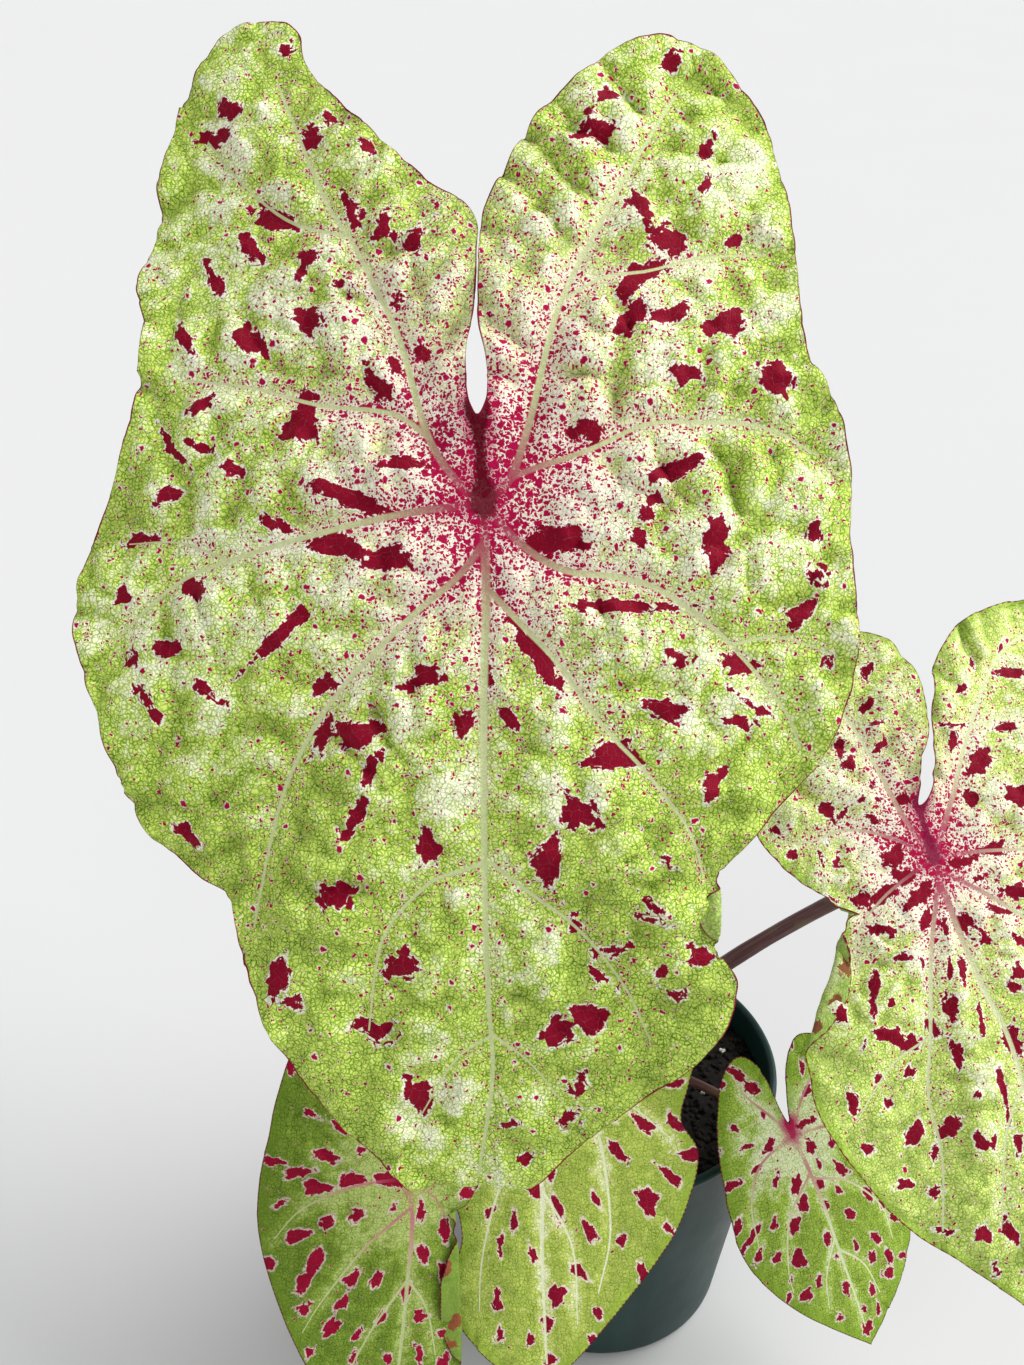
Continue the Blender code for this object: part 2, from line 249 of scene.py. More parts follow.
@dataclass(frozen=True)
class Leaf:
    """A leaf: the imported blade's frame, bends, folds and outline, and what dresses them."""

    name: str
    place: tuple
    heading: float
    droop: float
    roll: float
    bend: tuple
    reach: float
    folds: tuple
    outline: tuple
    arch: Arch
    paint: LeafPaint
    veins: tuple
    marks: tuple = ()  # sightings, and rows in millimetres for the blotches that a curl hides
    scatter: int = 0  # blotches placed by rule where the tables name none
    scatter_size: tuple = (2.0, 4.5)
    curls: tuple = ()
    cell: float = 4.0
    relief: float = 1.0
    extent: float = 100.0  # from the stalk to the far margin
    flush: float = 9.0
    sinus: tuple = (0.0, 20.0)  # where the lobes part
    seed: int = 1


BIG_PAINT = LeafPaint(
    name="big_leaf_cuticle", areole_pale="F0F0D6", areole_green="D4E670", net_pale="A0B560",
    net_green="66940A", net_deep="3A6600", rib="C2CC96", rib_wine="9C525C", halo="F2EBE6",
    spot="8C0526", spot_deep="6C031C", heart="560014", fleck_colour="A2073F", haze="A4184C",
    blush="E9D9D0", margin="720A2C", back="93A964",
    green_bias=0.0, speck=1.0, fleck=1.0, band=0.0)
PALE_PAINT = LeafPaint(
    name="pale_leaf_cuticle", areole_pale="F2F1D8", areole_green="DCE886", net_pale="B0C476",
    net_green="84AB26", net_deep="56800E", rib="C8D0A2", rib_wine="A45A68", halo="F2ECE6",
    spot="8C0526", spot_deep="6C031C", heart="780A36", fleck_colour="A2073F", haze="A4184C",
    blush="E9D9D0", margin="720A2C", back="8FA85C",
    green_bias=-0.08, speck=0.85, fleck=0.9, band=2.5, feather=0.5, cloud=0.7, jag=0.6)
GREEN_PAINT = LeafPaint(
    name="green_leaf_cuticle", areole_pale="DEE4BE", areole_green="AEC456", net_pale="A9BC70",
    net_green="779A28", net_deep="4C7010", rib="D2D8B0", rib_wine="B25C74", halo="E8D6D4",
    spot="96072E", spot_deep="740522", heart="A01244", fleck_colour="9C1040", haze="B04C6E",
    blush="DFD0BC", margin="5E0E28", back="84A048",
    green_bias=-0.2, speck=0.05, fleck=0.2, band=3.5, feather=1.25, cloud=0.5, jag=0.45)

# Painted shade: a darker copy of the green paint for the small left leaf, which lies in the big leaf's shade.
PAINTED_SHADE_GREEN_PAINT = replace(
    GREEN_PAINT, name="shaded_leaf_cuticle", areole_pale="A9B76C", areole_green="82983A", net_pale="7F9346",
    net_green="5E7A22", net_deep="3E5C10", rib="AFB984", halo="CFBAB6")
# Painted light: a lighter, yellower copy of the green paint, which stands in for the brighter light on the
# small front leaf.
PAINTED_LIGHT_GREEN_PAINT = replace(
    GREEN_PAINT, name="yellowish_leaf_cuticle", areole_pale="ECEAC6", areole_green="C6CE6C",
    net_pale="BFCD86", net_green="90AE38", net_deep="658A1A", rib="E0E4C2", halo="F0DEDA")

BIG_SEEN = (
    (293, 62, 13, 11, 0), (235, 118, 20, 17, -30), (215, 143, 24, 14, -10), (312, 148, 24, 20, -30), (337,
    130, 17, 8, -55), (376, 160, 18, 8, -60), (276, 221, 38, 21, -15), (252, 250, 28, 19, -50), (216, 281,
    33, 12, -62), (352, 213, 27, 10, -65), (366, 220, 20, 8, -75), (386, 226, 16, 10, 60), (413, 245, 13,
    12, 0), (380, 238, 12, 9, 0), (397, 243, 16, 7, -60), (308, 264, 19, 14, 60), (342, 287, 15, 12, -30),
    (314, 322, 30, 20, 0), (187, 340, 33, 12, -68), (252, 345, 36, 18, -60), (403, 303, 11, 10, 0), (424,
    352, 14, 13, 0), (380, 387, 34, 14, -42), (393, 362, 16, 10, -60), (303, 423, 44, 38, 50), (204, 408,
    25, 13, 35), (177, 453, 36, 9, -58), (205, 451, 22, 10, -15), (237, 471, 11, 10, 0), (170, 497, 26, 10,
    28), (410, 466, 50, 14, -6), (350, 498, 68, 19, -18), (136, 541, 24, 14, 0), (340, 545, 62, 24, -22),
    (385, 560, 40, 26, 10), (197, 590, 22, 20, 0), (272, 522, 38, 13, -42), (125, 598, 8, 12, 0), (280, 638,
    76, 13, 40), (173, 650, 20, 11, 0), (139, 657, 24, 8, -70), (153, 703, 32, 11, -62), (211, 693, 28, 9,
    -22), (321, 687, 20, 18, 0), (320, 737, 34, 15, 72), (358, 736, 42, 30, 10), (371, 768, 34, 13, 65),
    (357, 815, 42, 16, 62), (187, 832, 24, 10, -38), (429, 845, 38, 21, -68), (465, 725, 36, 15, 62), (428,
    677, 42, 18, 24), (339, 893, 32, 25, 60), (283, 972, 38, 17, 70), (404, 963, 34, 24, -20), (377, 1030,
    30, 21, -15), (418, 1095, 36, 22, -50), (297, 998, 15, 12, 0), (672, 72, 22, 13, 0), (608, 107, 20, 12,
    20), (600, 137, 22, 17, 0), (584, 131, 18, 9, 60), (708, 151, 20, 13, 70), (706, 183, 15, 10, 60), (640,
    211, 38, 14, -62), (670, 240, 36, 24, 30), (640, 280, 56, 24, 35), (630, 322, 46, 18, 60), (671, 317,
    36, 14, 32), (722, 328, 44, 24, 12), (735, 240, 16, 10, 45), (683, 377, 32, 19, 32), (772, 383, 42, 26,
    -50), (590, 431, 28, 20, 20), (680, 470, 64, 16, 28), (555, 542, 64, 26, -8), (620, 604, 92, 15, 0),
    (538, 658, 80, 18, -50), (714, 545, 44, 24, -82), (739, 664, 30, 17, -18), (669, 711, 38, 21, -5), (676,
    659, 22, 18, 0), (748, 704, 30, 10, -35), (739, 720, 28, 12, -10), (612, 755, 46, 28, 18), (577, 811,
    40, 28, -55), (548, 860, 50, 24, 58), (710, 785, 32, 13, 68), (664, 860, 14, 9, 0), (656, 905, 24, 7,
    -38), (652, 918, 24, 12, -20), (612, 950, 24, 13, 22), (694, 948, 28, 17, -30), (560, 1028, 34, 22, 30),
    (592, 1018, 36, 22, -10), (816, 575, 26, 13, -70), (812, 534, 28, 13, 80), (798, 615, 30, 14, 38), (828,
    662, 13, 10, 0), (489, 682, 26, 13, -80), (512, 718, 24, 11, -48), (576, 926, 16, 10, 70), (600, 978,
    26, 10, -28), (656, 973, 18, 9, 72), (676, 991, 12, 9, 0), (580, 1084, 18, 12, 40), (568, 1118, 20, 12,
    30), (515, 1122, 16, 13, 0), (530, 1152, 18, 7, 25), (545, 885, 12, 9, 0), (640, 540, 16, 11, 0), (642,
    515, 13, 11, 0), (660, 500, 11, 9, 0),
)
RIGHT_SEEN_FIRST = (
    (267, 177, 26, 22, 0), (268, 250, 34, 18, 62), (295, 290, 28, 13, 20), (302, 333, 28, 18, 35), (212,
    340, 44, 26, 75), (232, 372, 40, 20, 60), (284, 418, 18, 14, 0), (256, 452, 16, 14, 0), (292, 453, 20,
    14, 0), (285, 490, 24, 17, 0), (187, 475, 34, 26, -45), (215, 485, 34, 16, 62), (76, 518, 30, 18, -48),
    (113, 567, 17, 12, 0), (168, 582, 38, 10, -75), (184, 543, 22, 9, -75), (210, 580, 17, 15, 0), (202,
    665, 36, 8, -36), (347, 452, 36, 15, -5), (328, 577, 62, 34, 48), (355, 616, 52, 24, -12), (310, 655,
    54, 32, 26), (262, 670, 44, 26, -60), (385, 655, 70, 36, 45), (397, 710, 48, 30, 58), (288, 730, 32, 24,
    0), (318, 736, 36, 22, -5), (346, 790, 24, 20, 0), (390, 803, 28, 12, 88), (438, 724, 34, 13, 90), (447,
    815, 44, 10, 88), (476, 808, 52, 15, -78), (480, 722, 58, 18, -55), (497, 712, 54, 14, -48), (525, 750,
    22, 15, -30), (510, 621, 24, 12, 0), (480, 585, 80, 20, 12), (543, 556, 44, 28, 0), (590, 652, 62, 26,
    0), (553, 690, 52, 15, -15), (513, 915, 62, 17, -86), (413, 940, 36, 24, -80), (467, 1000, 50, 20, -72),
    (280, 855, 46, 24, 80), (317, 886, 16, 12, 0), (283, 902, 20, 11, 90), (208, 912, 27, 25, 0),
)
RIGHT_SEEN_LAST = (
    (320, 962, 64, 30, -10), (360, 978, 44, 26, 15), (258, 975, 20, 9, 80), (230, 1092, 46, 28, -60), (293,
    1053, 20, 13, 90), (315, 1098, 18, 12, 0), (378, 1170, 62, 36, 62), (453, 1155, 62, 30, 50), (516, 1180,
    40, 20, -50), (538, 1188, 40, 14, 80), (510, 1087, 20, 10, 70), (558, 1070, 72, 20, -70), (578, 1137,
    28, 11, -80), (597, 1187, 40, 18, -80), (353, 1273, 36, 20, -5), (430, 1300, 26, 20, 45), (445, 1378,
    30, 14, 0), (518, 1382, 36, 32, 0), (577, 1380, 62, 20, -62), (272, 1200, 30, 16, -48), (515, 372, 64,
    44, 40), (500, 447, 34, 30, 40), (590, 443, 54, 50, 0), (571, 292, 46, 20, 8), (585, 172, 54, 26, 8),
    (475, 213, 22, 15, 0), (500, 153, 15, 14, 0), (568, 118, 28, 13, 62), (459, 292, 38, 13, 0), (457, 322,
    32, 18, -80), (590, 970, 62, 40, -70), (595, 820, 30, 24, 0), (590, 850, 36, 20, -30),
)
RIGHT_VIEW = {"corner": (740.0, 590.0), "zoom": 2.148}  # the enlarged view in which they were judged
RIGHT_CURLED = ((-36, -16, 4, 2.5, 40), (-41, -22, 3.5, 2.5, 60), (-43, -30, 4, 2, 80))

LEAVES = (
    Leaf(
        name="leaf_front",
        place=(-34.1, -57.0, 302.8), heading=-3.0, droop=56.0, roll=0.0,
        bend=(300.0, 260.0, 220.0, 220.0), reach=100.0,
        folds=((-62, 9, 4), (-42, 9, -4), (-15, 9, 3), (2, 10, -4), (28, 10, 4), (50, 12, -3), (75, 9, 3),
               (118, 10, 4), (140, 9, -4), (158, 8, 4), (180, 10, -3), (205, 10, 4), (228, 9, -4),
               (246, 9, 3)),
        outline=((1, -162), (9, -153), (17, -144), (29, -132), (43, -121), (53, -110), (56, -99), (52.6, -93),
                 (50.6, -90.2), (54.4, -88), (56.6, -84), (54.5, -79.6), (50.8, -77), (53, -73), (62, -63),
                 (72, -51), (78, -36), (79, -20), (77, -5), (77, 10), (73, 26), (67, 35), (65, 49), (64, 67),
                 (61, 81), (57, 92), (49, 102), (39, 107), (28, 105), (17, 96), (8, 86), (2, 74), (-2.3, 64),
                 (-2.9, 54), (-2.6, 40), (-0.6, 31), (0, 22), (-1.8, 18), (-4, 23), (-4.6, 32), (-3.6, 41),
                 (-3.3, 54), (-4.6, 63), (-15, 71), (-32, 87), (-43, 99), (-46, 108), (-53, 111), (-62, 109),
                 (-70, 100), (-74, 88), (-77, 76), (-76, 62), (-79, 50), (-76, 38), (-77, 22), (-82, 5),
                 (-88, -12), (-90, -23), (-87, -35), (-83, -45), (-80, -57), (-73, -70), (-63, -78),
                 (-54, -84), (-50, -97), (-43, -115), (-31, -133), (-18, -146), (-8, -156)),
        arch=Arch(foot=(-4.0, 4.0), thickness=5.0, rise=110.0, reach=70.0),
        paint=BIG_PAINT,
        veins=(
            Vein(((0, 0), (1, -20), (1, -40), (2, -82), (3, -104), (4, -122), (1, -146)), 1.0, 0.35),
            Vein(((0, 0), (-5, 4), (-12, 14), (-19, 35), (-25, 47), (-31, 58), (-37, 67), (-50, 96))),
            Vein(((0, 0), (5, 5), (9, 18), (14, 42), (22, 61), (28, 74), (38, 94))),
            Vein(((-12, 14), (-20, 19), (-36, 21), (-51, 25), (-66, 27)), 0.6, 0.25),
            Vein(((16, 45), (24, 50), (33, 52), (44, 56), (58, 58)), 0.45, 0.2),
            Vein(((0, 0), (6, 6), (21, 12), (33, 18), (44, 19), (58, 19), (70, 14)), 0.7, 0.25),
            Vein(((0, 0), (-10, -1), (-21, -3), (-37, -7), (-54, -12), (-66, -17), (-80, -29))),
            Vein(((0, -8), (-5, -15), (-13, -22), (-25, -34), (-33, -44), (-40, -57), (-44, -70), (-48, -90)),
                 0.75, 0.25),
            Vein(((0, 0), (8, -8), (17, -13), (28, -14), (36, -16), (43, -20), (52, -27), (64, -40),
                  (68, -48))),
            Vein(((2, -18), (9, -25), (16, -32), (26, -45), (34, -53), (40, -60), (45, -67), (48, -76)),
                 0.7, 0.25),
            Vein(((2, -74), (-3, -76), (-10, -79), (-18, -88), (-21, -96), (-23, -112)), 0.5, 0.2),
            Vein(((3, -74), (11, -80), (22, -88), (32, -100), (38, -112)), 0.45, 0.2),
            Vein(((4, -112), (12, -118), (20, -128)), 0.35, 0.15),
            Vein(((4, -112), (-4, -118), (-12, -132)), 0.35, 0.15),
            Vein(((52, -27), (62, -25), (74, -28)), 0.35, 0.15),
            Vein(((-54, -12), (-66, -8), (-78, -8)), 0.35, 0.15),
            Vein(((-31, 58), (-44, 62), (-56, 72), (-66, 84)), 0.45, 0.2)),
        marks=(Sighting(BIG_SEEN),),
        curls=(Curl((50.4, -91), (50.4, -76), 0.8, 165.0), Curl((-20, -147.5), (20, -145), 3.0, -150.0)),
        cell=4.2, relief=1.25, extent=110.0, flush=10.0, sinus=(-1.8, 18.6), seed=11,
    ),
    Leaf(
        name="leaf_right",
        place=(78.5, -35.4, 194.5), heading=24.0, droop=46.0, roll=-12.0,
        bend=(260.0, 180.0, 180.0, 180.0), reach=60.0,
        folds=((-70, 10, -3), (-48, 10, 3), (-22, 11, -3), (20, 10, 3), (44, 9, -3), (135, 10, -3),
               (165, 10, 3), (205, 9, -4), (232, 9, 3), (252, 8, -2)),
        outline=((3, -124), (15, -113), (27, -99), (38, -83), (46, -66), (49, -49), (45, -34), (37, -21),
                 (36, -8), (44, 4), (57, 14), (69, 27), (74, 42), (69, 54), (57, 60), (43, 60), (31, 57),
                 (21, 50), (14.2, 38), (10.6, 29), (7.5, 21), (3.6, 15), (0.8, 14), (2.6, 19), (5.4, 25),
                 (9.4, 30), (12.6, 38), (13.5, 49), (10, 58), (2, 63), (-9, 64), (-21, 59), (-31, 50),
                 (-38, 38), (-41, 25), (-40, 14), (-35, 4), (-29, -3), (-27, -10.4), (-31, -11.4),
                 (-37, -14.5), (-42.6, -19.5), (-45.2, -27), (-45.6, -34), (-46.4, -42), (-47, -54),
                 (-42, -67), (-32, -85), (-17, -102), (-6, -115)),
        arch=Arch(foot=(7.0, 0.0), thickness=4.6, rise=29.4, reach=38.3),
        paint=PALE_PAINT,
        veins=(
            Vein(((0, 0), (0, -14), (2, -33), (5, -46), (6, -60), (6, -90), (4, -116)), 0.9, 0.3),
            Vein(((0, 0), (-4, 12), (-6, 26), (-8, 39), (-12, 55)), 0.8, 0.3),
            Vein(((0, 0), (10, 13), (22, 29), (40, 46), (60, 52)), 0.8, 0.3),
            Vein(((0, 0), (-9, 8), (-19, 13), (-31, 13), (-38, 17)), 0.55, 0.2),
            Vein(((0, 0), (-14, -5), (-24, -12), (-27, -20)), 0.5, 0.2),
            Vein(((0, -4), (-8, -22), (-14, -42), (-18, -56), (-18, -71), (-22, -90)), 0.65, 0.25),
            Vein(((0, 0), (14, -2), (28, -6), (34, -12)), 0.6, 0.25),
            Vein(((0, -3), (12, -14), (26, -30), (36, -44), (40, -58)), 0.65, 0.25),
            Vein(((6, -60), (14, -68), (26, -84)), 0.4, 0.15),
            Vein(((6, -60), (-2, -72), (-8, -94)), 0.4, 0.15),
            Vein(((22, 29), (36, 30), (52, 26), (64, 32)), 0.4, 0.15),
            Vein(((-14, -42), (-26, -46), (-38, -56)), 0.35, 0.15)),
        marks=(Sighting(RIGHT_SEEN_FIRST, **RIGHT_VIEW), RIGHT_CURLED,
               Sighting(RIGHT_SEEN_LAST, **RIGHT_VIEW)),
        scatter=16,
        curls=(Curl((-26.4, -10.6), (-44.4, -37.6), 1.2, 160.0),),
        cell=3.4, relief=0.8, extent=80.0, flush=6.4, sinus=(0.8, 14.4), seed=23,
    ),
    Leaf(
        name="leaf_small_right",
        place=(50.8, -40.0, 100.0), heading=34.0, droop=57.0, roll=-8.0,
        bend=(200.0, 120.0, 120.0, 120.0), reach=35.0,
        folds=((-35, 20, 1.0), (20, 20, -0.8), (160, 20, -0.8), (215, 20, 1.0)),
        outline=((10, -73), (20, -62), (28, -52), (33, -40), (35, -26), (35, -12), (32, 2), (27, 14),
                 (19, 22), (12, 24.5), (6, 20.5), (2.6, 13), (1.0, 7), (0, 3.5), (-1.2, 8), (-2, 15),
                 (-3.4, 22), (-7, 26), (-12, 24.5), (-18, 17), (-22.5, 5), (-24.5, -9), (-25, -24),
                 (-20.5, -37), (-12, -50), (-1, -62)),
        arch=Arch(foot=(10.0, -7.0), thickness=2.8, rise=19.0, reach=14.0),
        paint=GREEN_PAINT,
        veins=(
            Vein(((0, 0), (3, -21), (5, -40), (9, -66)), 0.7, 0.25),
            Vein(((0, 0), (-5, 8), (-10, 16), (-11, 22)), 0.5, 0.2),
            Vein(((0, 0), (6, 8), (14, 14), (20, 16)), 0.5, 0.2),
            Vein(((0, 0), (-12, -4), (-18, -14), (-19, -26)), 0.5, 0.15),
            Vein(((2, -12), (-8, -22), (-12, -36), (-12, -44)), 0.4, 0.15),
            Vein(((4, -34), (-1, -44), (-2, -54)), 0.35, 0.15),
            Vein(((0, 0), (14, -3), (25, -10), (29, -22)), 0.5, 0.15),
            Vein(((2, -14), (13, -20), (22, -32), (24, -44)), 0.4, 0.15),
            Vein(((5, -38), (12, -46), (16, -58)), 0.35, 0.15)),
        scatter=70, scatter_size=(1.4, 3.6),
        cell=2.8, relief=0.35, extent=60.0, flush=3.4, sinus=(0.0, 3.6), seed=31,
    ),
    Leaf(
        name="leaf_small_front",
        place=(-23.0, -47.5, 136.4), heading=3.0, droop=44.0, roll=-8.0,
        bend=(160.0, 120.0, 110.0, 120.0), reach=45.0,
        folds=((-50, 14, 1.5), (-24, 10, -3), (-8, 12, 2), (186, 12, 1.5), (212, 10, -1.5), (235, 10, 1.5)),
        outline=((-4, -84), (5, -79), (17, -67), (31, -51), (38, -40), (42.5, -26), (38.5, -17), (41, -8),
                 (44, 2), (44, 16), (38, 28), (28, 34), (18, 34), (9.5, 27), (4.4, 18), (1.8, 10), (0, 6),
                 (-1.8, 10), (-4.6, 19), (-9, 28), (-16, 32), (-23, 30), (-28, 22), (-30, 10), (-29, -3),
                 (-26, -16), (-24, -29), (-21, -44), (-25, -55), (-25.5, -63), (-21.5, -71), (-13, -80)),
        arch=Arch(foot=(-1.0, -6.0), thickness=3.4, rise=22.0, reach=22.0),
        # Painted light: this leaf wears the lighter copy of the green paint.
        paint=PAINTED_LIGHT_GREEN_PAINT,
        veins=(
            Vein(((0, 0), (0, -13), (1, -33), (0, -48), (-1, -78)), 0.8, 0.3),
            Vein(((0, 0), (10, -8), (16, -18), (18, -31), (18, -46), (14, -60)), 0.55, 0.2),
            Vein(((0, 0), (-6, 12), (-14, 24), (-18, 29)), 0.5, 0.2),
            Vein(((0, 0), (8, 12), (18, 22), (30, 28)), 0.5, 0.2),
            Vein(((0, 0), (20, 0), (34, 2), (40, 6)), 0.5, 0.2),
            Vein(((10, -8), (24, -12), (36, -22)), 0.4, 0.15),
            Vein(((0, -4), (-12, -8), (-22, -12)), 0.45, 0.15),
            Vein(((0, -18), (-10, -32), (-16, -50), (-18, -64)), 0.45, 0.15),
            Vein(((1, -33), (8, -48), (8, -68)), 0.4, 0.15)),
        scatter=64, scatter_size=(2.0, 4.6),
        cell=2.8, relief=0.4, extent=70.0, flush=3.6, sinus=(0.0, 6.0), seed=43,
    ),
    Leaf(
        name="leaf_small_left",
        place=(-54.9, -77.3, 125.0), heading=-6.0, droop=60.0, roll=22.0,
        bend=(200.0, 120.0, 120.0, 60.0), reach=40.0,
        folds=((-60, 12, -1.5), (-38, 12, 2), (10, 14, -1.5), (170, 16, 1.5), (205, 16, -1.5),
               (235, 12, 1.5)),
        outline=((1, -84), (10, -75), (17, -65), (19.2, -56.6), (22.8, -50), (24.2, -42), (23.6, -33),
                 (21.4, -25), (17, -18.6), (13.6, -15.6), (15.4, -10), (20, -3), (24, 5), (24.5, 17),
                 (20, 27), (13, 31), (7.5, 27), (3.8, 18), (1.6, 9), (0, 5), (-1.8, 9), (-5, 20), (-10, 30),
                 (-17, 35.5), (-25, 35.5), (-31, 28), (-35, 12), (-37, -4), (-35, -19), (-29, -36),
                 (-21, -52), (-12, -67), (-4, -78)),
        arch=Arch(foot=(-10.0, -2.0), thickness=3.4, rise=14.0, reach=24.0),
        # Painted shade: this leaf wears the darker copy of the green paint.
        paint=PAINTED_SHADE_GREEN_PAINT,
        veins=(
            Vein(((0, 0), (2, -11), (2, -27), (2, -40), (2, -76)), 0.7, 0.25),
            Vein(((0, 0), (-6, 12), (-16, 26), (-22, 31)), 0.5, 0.2),
            Vein(((0, 0), (6, 10), (12, 20), (14, 27)), 0.5, 0.2),
            Vein(((0, 0), (-14, -2), (-26, -8), (-32, -16)), 0.5, 0.15),
            Vein(((1, -8), (-10, -18), (-20, -32), (-24, -40)), 0.45, 0.15),
            Vein(((2, -27), (-6, -40), (-12, -56), (-12, -62)), 0.4, 0.15),
            Vein(((0, 0), (8, -6), (12, -14)), 0.4, 0.15),
            Vein(((2, -27), (8, -36), (12, -50)), 0.4, 0.15)),
        scatter=62, scatter_size=(1.8, 4.2),
        curls=(Curl((19.3, -57.6), (12.6, -14.6), 1.0, 160.0),),
        cell=2.8, relief=0.4, extent=70.0, flush=3.6, sinus=(0.0, 5.0), seed=59,
    ),
)

MARGIN_PACE = 0.65  # spacing of a margin's points, as a share of the blade's cell
VEIN_PACE = 3.0
FOLD_POWER = 2.5
FOLD_LIMIT = 1.2
BLADE_THICKNESS = 0.5
PACKED_THICKNESS = 0.8
PACKED_END_GAP = 0.36
QUILT_PACE = 15.0  # width of the puffed quilts between the ribs
PLEAT_PACE = 11.5  # width of the pleats that run off the ribs
RIB_SIGHT = 30  # how far from a rib its distance is still measured
JUDGED_STEP = 5.0  # length over which a judged turn and size are carried from the photograph to a blade
SETTLING_ROUNDS = 60  # enough for a line of sight to settle on a bent blade


def hex_colour(text: str) -> tuple:
    """Turn a screen colour such as 7DA62F into linear red, green, blue and alpha."""
    channels = [int(text[i:i + 2], 16) / 255 for i in (0, 2, 4)]
    return (*[c / 12.92 if c <= 0.04045 else ((c + 0.055) / 1.055) ** 2.4 for c in channels], 1.0)


def rise_between(values: np.ndarray, low: float, high: float) -> np.ndarray:
    """Rise smoothly from 0 at the low value to 1 at the high one."""
    share = np.clip((values - low) / (high - low), 0.0, 1.0)
    return share * share * (3 - 2 * share)


class Course:
    """A smooth plane curve through given points, walked by its length."""

    def __init__(self, points: tuple, closed: bool = False, steps: int = 14) -> None:
        """Lay the curve.

        Args:
            points: Places that the curve passes.
            closed: Whether it ends where it starts, with a corner there.
            steps: Fine points in each span.
        """
        run = np.array([*points, points[0]] if closed else points, float)
        run = np.vstack([2 * run[0] - run[1], run, 2 * run[-1] - run[-2]])
        a, b, c, d = (run[i:len(run) - 3 + i, None, :] for i in range(4))
        t = np.linspace(0.0, 1.0, steps, endpoint=False)[None, :, None]
        fine = 0.5 * (2 * b + (c - a) * t + (2 * a - 5 * b + 4 * c - d) * t * t
                      + (3 * b - a - 3 * c + d) * t ** 3)
        self.fine = np.vstack([fine.reshape(-1, 2), run[-2]])
        self.walked = np.concatenate([[0.0], np.cumsum(np.hypot(*np.diff(self.fine, axis=0).T))])

    @property
    def length(self) -> float:
        """Whole length of the curve."""
        return float(self.walked[-1])

    def at(self, walked: np.ndarray) -> np.ndarray:
        """Give the places at lengths along the curve."""
        return np.column_stack([np.interp(walked, self.walked, self.fine[:, i]) for i in (0, 1)])

    def even(self, pace: float, closed: bool = False) -> tuple[np.ndarray, np.ndarray]:
        """Spread even points along the curve.

        Args:
            pace: Distance between them.
            closed: Whether the last point, which is the first again, is left out.

        Returns:
            The lengths walked and the places there.
        """
        count = max(2, round(self.length / pace))
        walked = np.linspace(0.0, self.length, count + 1)[:count if closed else count + 1]
        return walked, self.at(walked)

    def holds(self, spots: np.ndarray) -> np.ndarray:
        """Tell which spots lie inside the closed curve.

        Args:
            spots: Places in the plane.

        Returns:
            Whether each of them is inside.
        """
        ring = self.at(np.linspace(0.0, self.length, 500))
        start, end = ring[None, :-1], ring[None, 1:]
        x, y = spots[:, None, 0], spots[:, None, 1]
        crosses = (start[..., 1] > y) != (end[..., 1] > y)
        rise = np.where(end[..., 1] == start[..., 1], 1.0, end[..., 1] - start[..., 1])
        at = start[..., 0] + (y - start[..., 1]) * (end[..., 0] - start[..., 0]) / rise
        return np.count_nonzero(crosses & (x < at), axis=1) % 2 == 1


def far_from(spots: np.ndarray, others: np.ndarray) -> np.ndarray:
    """Measure how far each spot lies from the nearest of the others.

    Args:
        spots: Places in the plane.
        others: The places to measure to.

    Returns:
        The distances.
    """
    tree = kdtree.KDTree(len(others))
    for index, (x, y) in enumerate(others):
        tree.insert((x, y, 0.0), index)
    tree.balance()
    return np.array([tree.find((x, y, 0.0))[2] for x, y in spots])


def ripple(spots: np.ndarray, size: float, seed: float) -> np.ndarray:
    """Give smooth noise between about -1 and 1 with features of a size in millimetres."""
    return np.array([noise.noise((x / size, y / size, seed)) for x, y in spots])


def bent_height(leaf: Leaf, x: np.ndarray, y: np.ndarray) -> np.ndarray:
    """Give the height that a blade's two bends, without its folds, have at places on it."""
    tip, lobes, left, right = leaf.bend
    return -y * y / (2 * np.where(y < 0, tip, lobes)) - x * x / (2 * np.where(x < 0, left, right))


def blade_frame(leaf: Leaf) -> tuple[Vector, Vector, Vector, Vector]:
    """Work out how a blade lies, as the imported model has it.

    Args:
        leaf: The leaf.

    Returns:
        Its place, and its across, up and facing directions.
    """
    heading, droop, roll = (math.radians(angle) for angle in (leaf.heading, leaf.droop, leaf.roll))
    level = Vector((math.sin(heading), -math.cos(heading), 0.0))
    midrib = math.cos(droop) * level - math.sin(droop) * Vector((0.0, 0.0, 1.0))
    facing = math.sin(droop) * level + math.cos(droop) * Vector((0.0, 0.0, 1.0))
    normal = math.cos(roll) * facing + math.sin(roll) * facing.cross(midrib)
    return Vector(leaf.place), normal.cross(midrib), -midrib, normal


def on_blade(leaf: Leaf, pixels: np.ndarray) -> np.ndarray:
    """Find where the lines of sight through places in the photograph meet a leaf's bent blade.

    Args:
        leaf: The leaf.
        pixels: Places in the photograph's frame.

    Returns:
        The places on the blade.
    """
    view = Viewpoint()
    place, across, up, normal = (np.array(vector) for vector in blade_frame(leaf))
    eye, rays = np.array(view.place) / MM, view.rays(pixels)
    height = np.zeros(len(rays))
    for _ in range(SETTLING_ROUNDS):
        reach = ((place + height[:, None] * normal - eye) @ normal) / (rays @ normal)
        met = eye + rays * reach[:, None] - place
        x, y = met @ across, met @ up
        height = 0.6 * height + 0.4 * bent_height(leaf, x, y)
    return np.column_stack([x, y])


